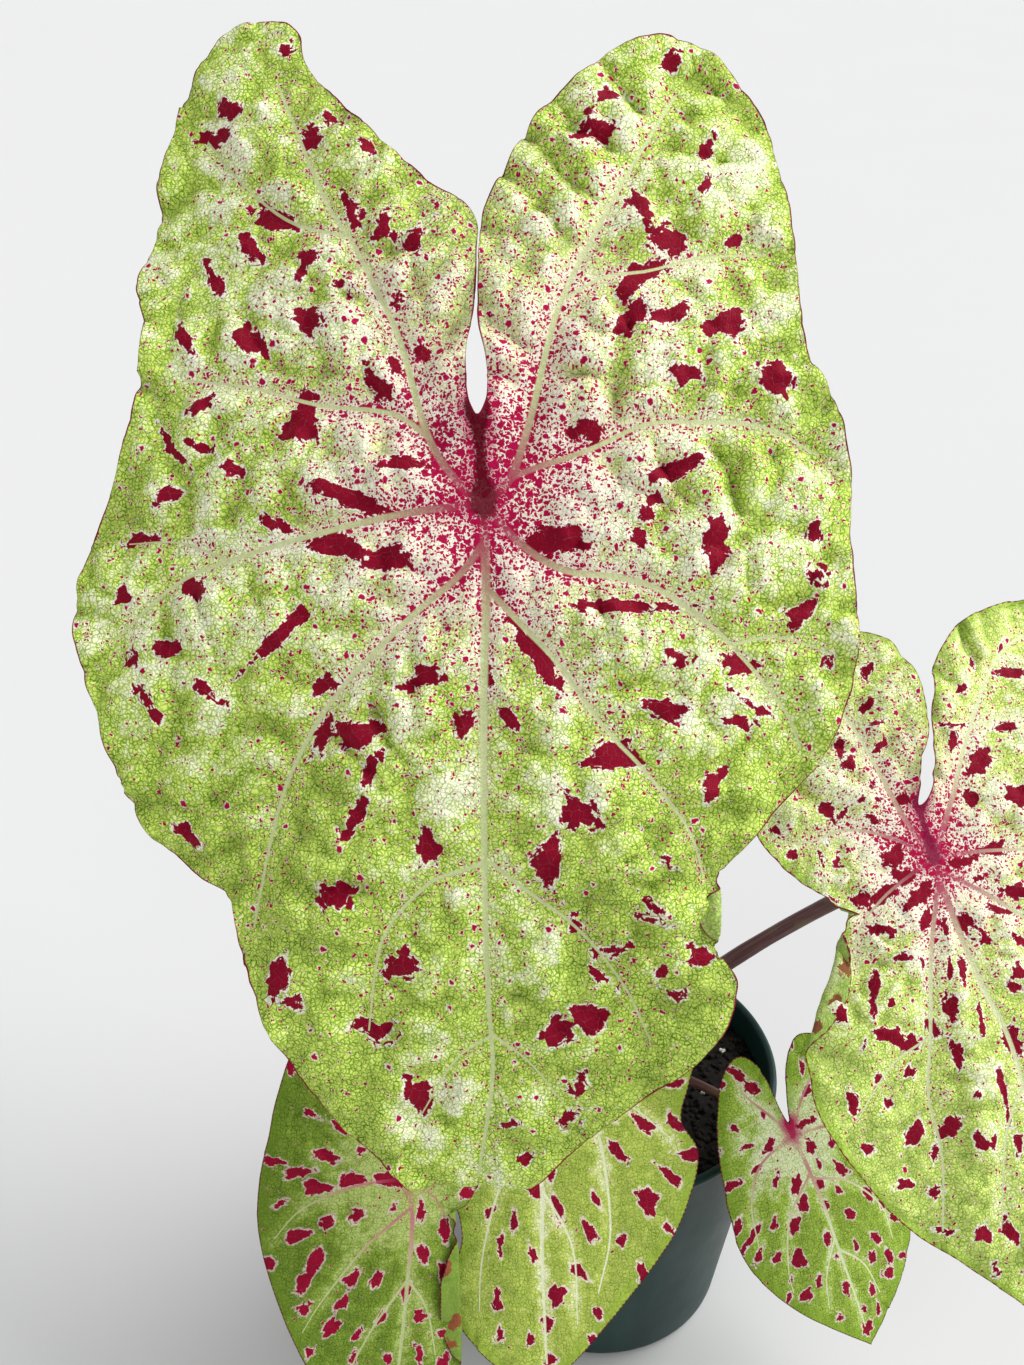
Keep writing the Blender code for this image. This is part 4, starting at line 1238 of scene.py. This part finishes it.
        swell = add(Node.MATH, {0: small, 1: -0.6, 2: self.grain}, operation="MULTIPLY_ADD")
        swell = add(Node.MATH, {0: coarse, 1: -1.2, 2: swell}, operation="MULTIPLY_ADD")
        bump = add(Node.BUMP, {"Strength": 0.6, "Distance": 0.00022, "Height": swell})
        self.set(Base_Color=base, Roughness=rough, Normal=bump, IOR=1.38, Specular_IOR_Level=0.1)
        return self.material


@dataclass(frozen=True)
class StalkFinish:
    """Fleshy leaf stalk: a matte skin streaked lengthwise in wine brown over green."""

    name: str = "streaked_stalk_skin"
    wine: str = "734A4A"
    light: str = "946A6A"
    green: str = "70683F"
    dark: str = "502F35"

    def make(self) -> bpy.types.Material:
        """Build the material; its long fine streaks make the stalk look juicy and grown.

        Returns:
            The material.
        """
        f = Finish(self.name)
        place = f.add(Node.FIELD, {}, "Vector", attribute_name="stalk_place")
        long = f.add(Node.VECTOR, {0: place, 1: (1.4, 1.4, 0.05)}, operation="MULTIPLY")
        streak = f.add(Node.NOISE, {"Vector": long, "Scale": 1.0, "Detail": 4.0, "Roughness": 0.6})
        blot = f.add(Node.NOISE, {"Vector": place, "Scale": 0.12, "Detail": 3.0})
        mix = f.add(Node.RANGE, {0: streak, 1: 0.36, 2: 0.66})
        base = f.add(Node.MIX, {0: mix, 6: self.dark, 7: self.wine}, 2, **COLOURS)
        pale = f.add(Node.RANGE, {0: streak, 1: 0.6, 2: 0.75, 3: 0.0, 4: 0.6})
        base = f.add(Node.MIX, {0: pale, 6: base, 7: self.light}, 2, **COLOURS)
        leafy = f.add(Node.RANGE, {0: blot, 1: 0.5, 2: 0.7, 3: 0.0, 4: 0.7})
        base = f.add(Node.MIX, {0: leafy, 6: base, 7: self.green}, 2, **COLOURS)
        bump = f.add(Node.BUMP, {"Strength": 0.5, "Distance": 0.00025, "Height": streak})
        f.set(Base_Color=base, Roughness=0.46, Normal=bump, IOR=1.42)
        return f.material


@dataclass
class Foliage:
    """The five leaves: their dressed blades and the stalks that carry them."""

    crown: float = 70.3  # height at which the stalks start, on the tuber
    straight: float = 16.0
    foot_share: float = 0.56
    head_share: float = 0.44
    rings: int = 110
    sides: int = 28

    def route(self, leaf: Leaf) -> np.ndarray:
        """Lead a stalk from the tuber, upright through the soil, to the underside of its blade.

        Args:
            leaf: The leaf that it carries.

        Returns:
            Close places along its course.
        """
        place, _, _, normal = (np.array(vector) for vector in blade_frame(leaf))
        foot = np.array((*leaf.arch.foot, self.crown))
        start = foot + (0.0, 0.0, self.straight)
        end = place - (PACKED_THICKNESS + PACKED_END_GAP) * normal
        bar = (start, start + (0.0, 0.0, leaf.arch.rise), end - leaf.arch.reach * normal, end)
        t = np.linspace(0.0, 1.0, self.rings)[:, None]
        arch = ((1 - t) ** 3 * bar[0] + 3 * (1 - t) ** 2 * t * bar[1] + 3 * (1 - t) * t * t * bar[2]
                + t ** 3 * bar[3])
        upright = foot + np.linspace(0.0, 1.0, 12, endpoint=False)[:, None] * (start - foot)
        return np.vstack([upright, arch, [place - 0.35 * normal]])

    def make_stalk(self, leaf: Leaf, material: bpy.types.Material) -> bpy.types.Object:
        """Sweep a slightly ribbed round along the course, flared where it meets the blade.

        Args:
            leaf: The leaf that it carries.
            material: The stalk's finish.

        Returns:
            The stalk's object.
        """
        route = self.route(leaf)
        walked = np.concatenate([[0.0], np.cumsum(np.linalg.norm(np.diff(route, axis=0), axis=1))])
        share = walked / walked[-1]
        thick = leaf.arch.thickness
        radius = thick * (self.foot_share + (self.head_share - self.foot_share) * share)
        radius *= 1 + 0.55 * np.exp(-(walked[-1] - walked) / 1.8)
        radius *= 1 + 0.018 * np.sin(walked / 7.0 + leaf.seed) + 0.012 * np.sin(walked / 2.9)
        heading = np.gradient(route, axis=0)
        heading /= np.linalg.norm(heading, axis=1, keepdims=True)
        side = np.array((1.0, 0.0, 0.0))
        points, places = [], []
        turns = np.linspace(0.0, 2 * math.pi, self.sides, endpoint=False)
        lobed = 1 + 0.03 * np.cos(5 * turns + leaf.seed) + 0.025 * np.cos(2 * turns)
        for spot, forward, size, far in zip(route, heading, radius, walked):
            side = side - forward * (side @ forward)
            side /= np.linalg.norm(side)
            other = np.cross(forward, side)
            ring = (np.cos(turns)[:, None] * side + np.sin(turns)[:, None] * other) * (size * lobed)[:, None]
            points.append(spot + ring)
            flat = (size * np.cos(turns), size * np.sin(turns))
            places.append(np.column_stack([*flat, np.full(self.sides, far)]))
        count = len(route)
        first = np.arange(self.sides)
        after = (first + 1) % self.sides
        faces = [tuple(first[::-1].tolist()), tuple(((count - 1) * self.sides + first).tolist())]
        for ring in range(count - 1):
            low, high = ring * self.sides, (ring + 1) * self.sides
            faces += np.column_stack([low + first, low + after, high + after, high + first]).tolist()
        mesh = bpy.data.meshes.new(leaf.name + "_stalk_dressed")
        mesh.from_pydata((np.vstack(points) * MM).tolist(), [], faces)
        field = mesh.attributes.new("stalk_place", "FLOAT_VECTOR", "POINT")
        field.data.foreach_set("vector", np.vstack(places).ravel())
        mesh.materials.append(material)
        mesh.shade_smooth()
        mesh.set_sharp_from_angle(angle=math.radians(60))
        return link(bpy.data.objects.new(leaf.name + "_stalk_dressed", mesh))

    def build(self) -> None:
        """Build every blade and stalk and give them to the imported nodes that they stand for."""
        paints = (BIG_PAINT, PALE_PAINT, GREEN_PAINT, PAINTED_SHADE_GREEN_PAINT, PAINTED_LIGHT_GREEN_PAINT)
        coats = {paint.name: LeafCoat(paint).make() for paint in paints}
        skin = StalkFinish().make()
        for leaf in LEAVES:
            keep(BladePattern(leaf).make(coats[leaf.paint.name]), "leaf_blade", leaf.name)
            keep(self.make_stalk(leaf, skin), "leaf_stalk", leaf.name + "_stalk")


def keep(piece: bpy.types.Object, slot: str, *nodes: str) -> None:
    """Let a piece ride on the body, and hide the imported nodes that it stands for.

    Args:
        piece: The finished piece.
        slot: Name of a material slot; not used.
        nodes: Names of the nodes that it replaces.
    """
    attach(piece, BODY)
    if nodes:
        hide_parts(*nodes)
    LOG.info("%s: %d faces", piece.name, len(piece.data.polygons))


def lathe(name: str, profile: list, sides: int) -> bpy.types.Mesh:
    """Turn a closed profile of radius and height about Z.

    Args:
        name: The mesh's name.
        profile: Radii and heights in millimetres, from the axis at the bottom round to the axis above.
        sides: Faces round the axis.

    Returns:
        The closed mesh.
    """
    turns = np.linspace(0.0, 2 * math.pi, sides, endpoint=False)
    points = [(0.0, 0.0, profile[0][1])]
    for radius, height in profile[1:-1]:
        points += [(radius * math.cos(t), radius * math.sin(t), height) for t in turns]
    points.append((0.0, 0.0, profile[-1][1]))
    rings, last = len(profile) - 2, len(points) - 1
    faces = []
    for side in range(sides):
        after = (side + 1) % sides
        faces.append((0, 1 + after, 1 + side))
        for ring in range(rings - 1):
            low, high = 1 + ring * sides, 1 + (ring + 1) * sides
            faces.append((low + side, low + after, high + after, high + side))
        faces.append((last, 1 + (rings - 1) * sides + side, 1 + (rings - 1) * sides + after))
    mesh = bpy.data.meshes.new(name)
    mesh.from_pydata([tuple(c * MM for c in point) for point in points], [], faces)
    return mesh


@dataclass(frozen=True)
class PotFinish:
    """Moulded polypropylene: dark green-grey, satin, with flow marks, fine scuffs and a little soil dust."""

    name: str = "moulded_pot_plastic"
    colour: str = "0F2B27"
    light: str = "163531"
    dust: str = "6F726A"

    def make(self) -> bpy.types.Material:
        """Build the material; its broken satin gleam reads as thin moulded plastic.

        Returns:
            The material.
        """
        f = Finish(self.name)
        place = f.add(Node.PLACE, {}, "Object")
        flow = f.add(Node.VECTOR, {0: place, 1: (1.0, 1.0, 0.22)}, operation="MULTIPLY")
        streak = f.add(Node.NOISE, {"Vector": flow, "Scale": 90.0, "Detail": 4.0})
        cloud = f.add(Node.NOISE, {"Vector": place, "Scale": 38.0, "Detail": 5.0, "Roughness": 0.6})
        grain = f.add(Node.NOISE, {"Vector": place, "Scale": 1600.0, "Detail": 2.0})
        scuff = f.add(Node.NOISE, {"Vector": place, "Scale": 420.0, "Detail": 6.0, "Roughness": 0.75})
        mix = f.add(Node.RANGE, {0: streak, 1: 0.35, 2: 0.68})
        base = f.add(Node.MIX, {0: mix, 6: self.colour, 7: self.light}, 2, **COLOURS)
        specks = f.add(Node.RANGE, {0: scuff, 1: 0.66, 2: 0.74, 3: 0.0, 4: 0.45})
        dusty = f.add(Node.RANGE, {0: cloud, 1: 0.45, 2: 0.7})
        specks = f.add(Node.MATH, {0: specks, 1: dusty}, operation="MULTIPLY")
        base = f.add(Node.MIX, {0: specks, 6: base, 7: self.dust}, 2, **COLOURS)
        rough = f.add(Node.RANGE, {0: cloud, 1: 0.3, 2: 0.7, 3: 0.4, 4: 0.54})
        swell = f.add(Node.MATH, {0: streak, 1: 4.0, 2: grain}, operation="MULTIPLY_ADD")
        bump = f.add(Node.BUMP, {"Strength": 0.25, "Distance": 0.0002, "Height": swell})
        f.set(Base_Color=base, Roughness=rough, Normal=bump, IOR=1.46, Specular_IOR_Level=0.36)
        return f.material


@dataclass
class Pot:
    """The tapered nursery pot with its rolled rim and drain holes."""

    height: float = 89.0
    rim_radius: float = 52.5
    mouth_radius: float = 51.3
    base_radius: float = 39.3
    wall: float = 1.4
    floor: float = 1.8
    rim_depth: float = 3.2
    corner: float = 3.0
    inner_corner: float = 4.5
    floor_radius: float = 35.7  # inside
    wall_rings: tuple = (12.0, 30.0, 50.0, 70.0)
    sides: int = 192
    drain_count: int = 6
    drain_radius: float = 4.0
    drain_ring: float = 28.0

    def outer_radius(self, height: float) -> float:
        """Radius of the outside of the wall at a height."""
        share = (height - self.corner) / (self.height - self.rim_depth - self.corner)
        return self.base_radius + share * (self.mouth_radius - self.base_radius)

    def profile(self) -> list:
        """Draw the pot's section from the axis under its floor, out, over the rim and back to the axis.

        Returns:
            Radii and heights.
        """
        low = self.height - self.rim_depth
        section = [(0.0, 0.0), (self.base_radius - 8.0, 0.0), (self.base_radius - self.corner, 0.0),
                   (self.base_radius - 1.9, 0.25), (self.base_radius - 0.9, 0.9),
                   (self.base_radius - 0.3, 1.8), (self.base_radius, self.corner)]
        section += [(self.outer_radius(z), z) for z in (*self.wall_rings, low - 0.6)]
        section += [(self.mouth_radius + 0.1, low), (self.rim_radius - 0.35, low + 0.35),
                    (self.rim_radius - 0.05, low + 0.9), (self.rim_radius, low + 1.4),
                    (self.rim_radius - 0.1, low + 2.2), (self.rim_radius - 0.35, low + 2.75),
                    (self.rim_radius - 0.9, low + 3.15), (self.rim_radius - 1.3, low + 3.2),
                    (self.rim_radius - 1.8, low + 3.0), (self.rim_radius - 2.2, low + 2.5),
                    (self.rim_radius - 2.4, low + 1.8)]
        section += [(self.outer_radius(z) - self.wall, z)
                    for z in (low, *reversed(self.wall_rings), self.inner_corner)]
        return [*section, *((radius, self.floor) for radius in (self.floor_radius, 20.0, 0.0))]

    def build(self) -> None:
        """Turn the pot, bore its drains and dress it."""
        pot = link(bpy.data.objects.new("pot_dressed", lathe("pot_dressed", self.profile(), self.sides)))
        boss = bmesh.new()
        for index in range(self.drain_count):
            turn = 2 * math.pi * (index + 0.5) / self.drain_count
            made = bmesh.ops.create_cone(boss, cap_ends=True, segments=40, radius1=self.drain_radius * MM,
                                         radius2=self.drain_radius * MM, depth=8 * MM)
            bmesh.ops.translate(boss, verts=made["verts"], vec=(self.drain_ring * MM * math.cos(turn),
                                                                self.drain_ring * MM * math.sin(turn), MM))
        cutter_mesh = bpy.data.meshes.new("drain_cutter")
        boss.to_mesh(cutter_mesh)
        boss.free()
        cutter = link(bpy.data.objects.new("drain_cutter", cutter_mesh))
        bore = pot.modifiers.new("bore", "BOOLEAN")
        bore.object, bore.operation, bore.solver = cutter, "DIFFERENCE", "EXACT"
        flatten(pot)
        bpy.data.objects.remove(cutter)
        pot.data.materials.clear()
        pot.data.materials.append(PotFinish().make())
        pot.data.shade_smooth()
        pot.data.set_sharp_from_angle(angle=math.radians(40))
        keep(pot, "pot_plastic", "pot")


def flatten(thing: bpy.types.Object) -> None:
    """Replace an object's mesh with what its modifiers make, and take the modifiers away.

    Args:
        thing: The object.
    """
    graph = bpy.context.evaluated_depsgraph_get()
    mesh = bpy.data.meshes.new_from_object(thing.evaluated_get(graph))
    thing.modifiers.clear()
    thing.data = mesh


@dataclass(frozen=True)
class SoilFinish:
    """Damp potting soil: near-black peat crumbs with brown fibres."""

    name: str = "damp_potting_soil"
    dark: str = "070605"
    brown: str = "1E1612"
    fibre: str = "3A2B20"

    def make(self) -> bpy.types.Material:
        """Build the material; its broken near-black crumbs read as damp peat.

        Returns:
            The material.
        """
        f = Finish(self.name)
        place = f.add(Node.PLACE, {}, "Object")
        clod = f.add(Node.NOISE, {"Vector": place, "Scale": 520.0, "Detail": 6.0, "Roughness": 0.7})
        broad = f.add(Node.NOISE, {"Vector": place, "Scale": 90.0, "Detail": 3.0})
        base = f.add(Node.RANGE, {0: clod, 1: 0.35, 2: 0.75})
        base = f.add(Node.MIX, {0: base, 6: self.dark, 7: self.brown}, 2, **COLOURS)
        share = f.add(Node.RANGE, {0: broad, 1: 0.56, 2: 0.74, 3: 0.0, 4: 0.5})
        base = f.add(Node.MIX, {0: share, 6: base, 7: self.fibre}, 2, **COLOURS)
        bump = f.add(Node.BUMP, {"Strength": 0.8, "Distance": 0.0006, "Height": clod})
        f.set(Base_Color=base, Roughness=0.92, Normal=bump, Specular_IOR_Level=0.3)
        return f.material


@dataclass(frozen=True)
class PerliteFinish:
    """Expanded volcanic glass: dull white, chalky and pitted."""

    name: str = "chalky_perlite"
    white: str = "F0EDE4"
    stain: str = "A89E8E"

    def make(self) -> bpy.types.Material:
        """Build the material; its stained pits keep the white grains from looking like plastic.

        Returns:
            The material.
        """
        f = Finish(self.name)
        place = f.add(Node.PLACE, {}, "Object")
        pits = f.add(Node.NOISE, {"Vector": place, "Scale": 900.0, "Detail": 4.0})
        share = f.add(Node.RANGE, {0: pits, 1: 0.45, 2: 0.68})
        base = f.add(Node.MIX, {0: share, 6: self.white, 7: self.stain}, 2, **COLOURS)
        bump = f.add(Node.BUMP, {"Strength": 0.7, "Distance": 0.0004, "Height": pits})
        f.set(Base_Color=base, Roughness=0.9, Normal=bump)
        return f.material


@dataclass(frozen=True)
class TuberFinish:
    """Corky tuber skin: brown, ringed and rough."""

    name: str = "corky_tuber_skin"
    brown: str = "6A4A32"
    dark: str = "39261A"

    def make(self) -> bpy.types.Material:
        """Build the material; its rings and cork make it a grown tuber where it is ever dug out.

        Returns:
            The material.
        """
        f = Finish(self.name)
        place = f.add(Node.PLACE, {}, "Object")
        flat = f.add(Node.VECTOR, {0: place, 1: (1.0, 1.0, 5.0)}, operation="MULTIPLY")
        cork = f.add(Node.NOISE, {"Vector": flat, "Scale": 160.0, "Detail": 6.0, "Roughness": 0.65})
        share = f.add(Node.RANGE, {0: cork, 1: 0.35, 2: 0.68})
        base = f.add(Node.MIX, {0: share, 6: self.dark, 7: self.brown}, 2, **COLOURS)
        bump = f.add(Node.BUMP, {"Strength": 0.8, "Distance": 0.0008, "Height": cork})
        f.set(Base_Color=base, Roughness=0.88, Normal=bump)
        return f.material


@dataclass
class Soil:
    """The potting soil: a lump that fills the pot, crumbs strewn over it and a few grains of perlite."""

    top: float = 80.0
    dome: float = 2.0
    radius: float = 48.0
    low: float = 2.1
    foot_radius: float = 35.1
    corner_radius: float = 37.6
    corner: float = 4.8
    crumb: float = 1.5
    crumbs: int = 1500
    grains: tuple = ((23.0, -24.0, 1.2), (14.5, -28.0, 1.3), (12.0, -37.0, 2.6), (13.0, -39.5, 1.5),
                     (10.5, -42.0, 1.3), (8.0, -42.5, 1.1), (12.5, -46.0, 1.2), (-18.0, 20.0, 1.6),
                     (22.0, 18.0, 1.4), (-5.0, 33.0, 1.8), (-33.0, 4.0, 1.4), (30.0, -6.0, 1.2),
                     (3.0, 22.0, 1.2), (-24.0, -22.0, 1.5), (-9.0, 41.0, 1.2), (38.0, 12.0, 1.3),
                     (17.0, 38.0, 1.1))

    def surface(self, x: float, y: float) -> float:
        """Raise the soil's uneven top.

        Args:
            x: Place to the right of the pot's axis.
            y: Place behind it.

        Returns:
            The height there.
        """
        far = math.hypot(x, y) / self.radius
        rough = 1.3 * noise.noise((x / 9, y / 9, 1.7)) + 0.7 * noise.noise((x / 3.2, y / 3.2, 4.1))
        rough += 0.4 * noise.noise((x / 1.3, y / 1.3, 8.3))
        return self.top + self.dome * (1 - far * far) + rough * min(1.0, 9 * (1 - far) + 0.25)

    def lump(self, material: bpy.types.Material) -> bpy.types.Object:
        """Fill the pot with one closed lump whose top is uneven.

        Args:
            material: Its finish.

        Returns:
            The lump.
        """
        profile = [(0.0, self.low), (self.foot_radius, self.low), (self.corner_radius, self.corner),
                   (self.radius, self.top)]
        radii = list(np.arange(self.radius - 1.0, 1.0, -1.0))
        profile += [(float(radius), self.top) for radius in radii] + [(0.0, self.top)]
        mesh = lathe("soil_lump", profile, 160)
        for vertex in mesh.vertices:
            if vertex.co.z > (self.top - 0.5) * MM:
                vertex.co.z = self.surface(vertex.co.x / MM, vertex.co.y / MM) * MM
        mesh.materials.append(material)
        mesh.shade_smooth()
        mesh.set_sharp_from_angle(angle=math.radians(55))
        return link(bpy.data.objects.new("soil_dressed", mesh))

    def pebble(self, name: str, size: float, seed: int, detail: int,
               material: bpy.types.Material) -> bpy.types.Object:
        """Knead one rough crumb.

        Args:
            name: Its name.
            size: Its radius in millimetres.
            seed: What makes its shape its own.
            detail: How often its faces are split.
            material: Its finish.

        Returns:
            The crumb, at the origin.
        """
        shell = bmesh.new()
        bmesh.ops.create_icosphere(shell, subdivisions=detail, radius=size * MM)
        for vertex in shell.verts:
            broad = vertex.co / (size * MM) * 1.3 + Vector((seed * 3.1, 0.0, 0.0))
            fine = vertex.co / (size * MM) * 3.0 + Vector((0.0, seed * 1.7, 0.0))
            vertex.co *= 0.75 + 0.5 * noise.noise(broad) + 0.15 * noise.noise(fine)
        mesh = bpy.data.meshes.new(name)
        shell.to_mesh(mesh)
        shell.free()
        mesh.materials.append(material)
        return link(bpy.data.objects.new(name, mesh))

    def strew(self, bed: bpy.types.Object, crumb: bpy.types.Object,
              material: bpy.types.Material) -> bpy.types.Object:
        """Strew crumbs over the top of the soil with Geometry Nodes.

        Args:
            bed: The soil that they lie on.
            crumb: One crumb.
            material: Their finish.

        Returns:
            One object of all the crumbs.
        """
        tree = bpy.data.node_groups.new("strewn_crumbs", "GeometryNodeTree")
        density = self.crumbs / (math.pi * (self.radius * MM) ** 2)
        values = {"Bed": bed, "Crumb": crumb, "Density": density, "Smallest": 0.35, "Largest": 1.15}
        for name, value in values.items():
            kind = "NodeSocketFloat" if isinstance(value, float) else "NodeSocketObject"
            tree.interface.new_socket(name, in_out="INPUT", socket_type=kind)
        tree.interface.new_socket("Geometry", in_out="OUTPUT", socket_type="NodeSocketGeometry")
        add = partial(add_node, tree)
        given = add("NodeGroupInput", {}).node.outputs
        bed_mesh = add("GeometryNodeObjectInfo", {"Object": given["Bed"]}, "Geometry")
        height = add(Node.AXES, {0: add("GeometryNodeInputPosition", {})}, 2)
        on_top = add(Node.MATH, {0: height, 1: (self.top - 3.0) * MM}, operation="GREATER_THAN")
        where = {"Mesh": bed_mesh, "Selection": on_top, "Density": given["Density"], "Seed": 12}
        spots = add("GeometryNodeDistributePointsOnFaces", where, "Points")
        turns = {"Min": (0.0, 0.0, 0.0), "Max": (6.28, 6.28, 6.28), "Seed": 5}
        spin = add("FunctionNodeRandomValue", turns, 0, data_type="FLOAT_VECTOR")
        scale = add("FunctionNodeRandomValue", {2: given["Smallest"], 3: given["Largest"], "Seed": 9}, 1,
                    data_type="FLOAT")
        shape = add("GeometryNodeObjectInfo", {"Object": given["Crumb"]}, "Geometry")
        strewn = add("GeometryNodeInstanceOnPoints",
                     {"Points": spots, "Instance": shape, "Rotation": spin, "Scale": scale})
        plain = add("GeometryNodeRealizeInstances", {"Geometry": strewn})
        dressed = add("GeometryNodeSetMaterial", {"Geometry": plain, "Material": material})
        tree.links.new(dressed, tree.nodes.new("NodeGroupOutput").inputs[0])

        thing = link(bpy.data.objects.new("soil_crumbs", bpy.data.meshes.new("soil_crumbs")))
        strewer = thing.modifiers.new("strewn", "NODES")
        strewer.node_group = tree
        for item in tree.interface.items_tree:
            if item.in_out == "INPUT":
                strewer[item.identifier] = values[item.name]
        flatten(thing)
        thing.data.shade_smooth()
        return thing

    def perlite(self) -> bpy.types.Object:
        """Set the white grains into the top of the soil.

        Returns:
            One object of all the grains.
        """
        white = PerliteFinish().make()
        whole = bmesh.new()
        for index, (x, y, size) in enumerate(self.grains):
            grain = self.pebble(f"grain_{index}", size * 0.8, 40 + index, 3, white)
            grain.data.transform(Matrix.Translation(Vector((x, y, self.surface(x, y) + 0.25 * size)) * MM))
            whole.from_mesh(grain.data)
            bpy.data.objects.remove(grain)
        mesh = bpy.data.meshes.new("perlite_grains")
        whole.to_mesh(mesh)
        whole.free()
        mesh.materials.append(white)
        mesh.shade_smooth()
        return link(bpy.data.objects.new("perlite_grains", mesh))

    def build(self) -> None:
        """Build the lump, the crumbs and the grains, and dress the tuber inside."""
        peat = SoilFinish().make()
        bed = self.lump(peat)
        crumb = self.pebble("one_crumb", self.crumb, 3, 2, peat)
        crumbs = self.strew(bed, crumb, peat)
        bpy.data.objects.remove(crumb)
        keep(bed, "potting_soil", "soil")
        keep(crumbs, "potting_soil")
        keep(self.perlite(), "potting_soil")
        skin = TuberFinish().make()
        tuber = bpy.data.objects["tuber"]
        for place in tuber.material_slots:
            place.material = skin


@dataclass
class Studio:
    """The plain pale floor, the soft light and the camera."""

    view: Viewpoint = Viewpoint()
    floor_reach: float = 30.0  # in metres
    sensor: float = 36.0

    def floor(self) -> None:
        """Lay a floor that runs far past the view."""
        f = Finish("matt_studio_floor")
        place = f.add(Node.PLACE, {}, "Object")
        tint = f.add(Node.NOISE, {"Vector": place, "Scale": 6.0, "Detail": 2.0})
        base = f.add(Node.MIX, {0: tint, 6: "CBCBCB", 7: "CDCDCD"}, 2, **COLOURS)
        f.set(Base_Color=base, Roughness=0.9, Specular_IOR_Level=0.1)
        mesh = bpy.data.meshes.new("studio_floor")
        corners = [(side * self.floor_reach, depth * self.floor_reach, 0.0)
                   for side, depth in ((-1, -1), (1, -1), (1, 1), (-1, 1))]
        mesh.from_pydata(corners, [], [(0, 1, 2, 3)])
        mesh.materials.append(f.material)
        link(bpy.data.objects.new("studio_floor", mesh))

    def light(self) -> None:
        """Shine a soft light from the upper right, a weak one from the front left, and a pale sky."""
        for name, spot, spread, power in (("key_light", (0.78, 0.08, 0.76), 58.0, 4.18),
                                          ("fill_light", (-0.2, -1.0, 0.5), 70.0, 0.85)):
            lamp = bpy.data.lights.new(name, "SUN")
            lamp.energy, lamp.angle = power, math.radians(spread)
            thing = link(bpy.data.objects.new(name, lamp))
            thing.location = spot
            thing.rotation_euler = Vector(spot).to_track_quat("Z", "Y").to_euler()
        world = bpy.data.worlds.new("pale_sky")
        world.use_nodes = True
        sky = world.node_tree.nodes["Background"]
        sky.inputs["Color"].default_value = hex_colour("FBFCFF")
        add = partial(add_node, world.node_tree)
        height = add(Node.AXES, {0: add(Node.PLACE, {}, "Generated")}, 2)
        glow = add(Node.RANGE, {0: height, 1: 0.0, 2: 0.4, 3: 0.8, 4: 0.38}, **SMOOTH)
        world.node_tree.links.new(glow, sky.inputs["Strength"])
        bpy.context.scene.world = world
        bpy.context.scene.view_settings.view_transform = "Standard"
        bpy.context.scene.view_settings.look = "None"

    def camera(self) -> None:
        """Stand the camera where the photograph was taken from."""
        lens = bpy.data.cameras.new("camera")
        lens.sensor_width, lens.sensor_fit = self.sensor, "AUTO"
        lens.lens = self.view.focal * lens.sensor_width / self.view.frame[1]
        lens.clip_start, lens.clip_end = 0.01, 50.0
        thing = link(bpy.data.objects.new("camera", lens))
        thing.location = self.view.place
        thing.rotation_euler = (math.radians(self.view.pitch), 0.0, 0.0)
        bpy.context.scene.camera = thing

    def build(self) -> None:
        """Set the floor, the light and the camera."""
        self.floor()
        self.light()
        self.camera()


def main() -> None:
    """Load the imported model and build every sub-assembly over it."""
    logging.basicConfig(level=logging.INFO, format="%(name)s: %(message)s", stream=sys.stdout)
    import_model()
    for group in (Pot(), Soil(), Foliage(), Studio()):
        group.build()
        LOG.info("built %s", type(group).__name__)


if __name__ == "__main__":
    main()
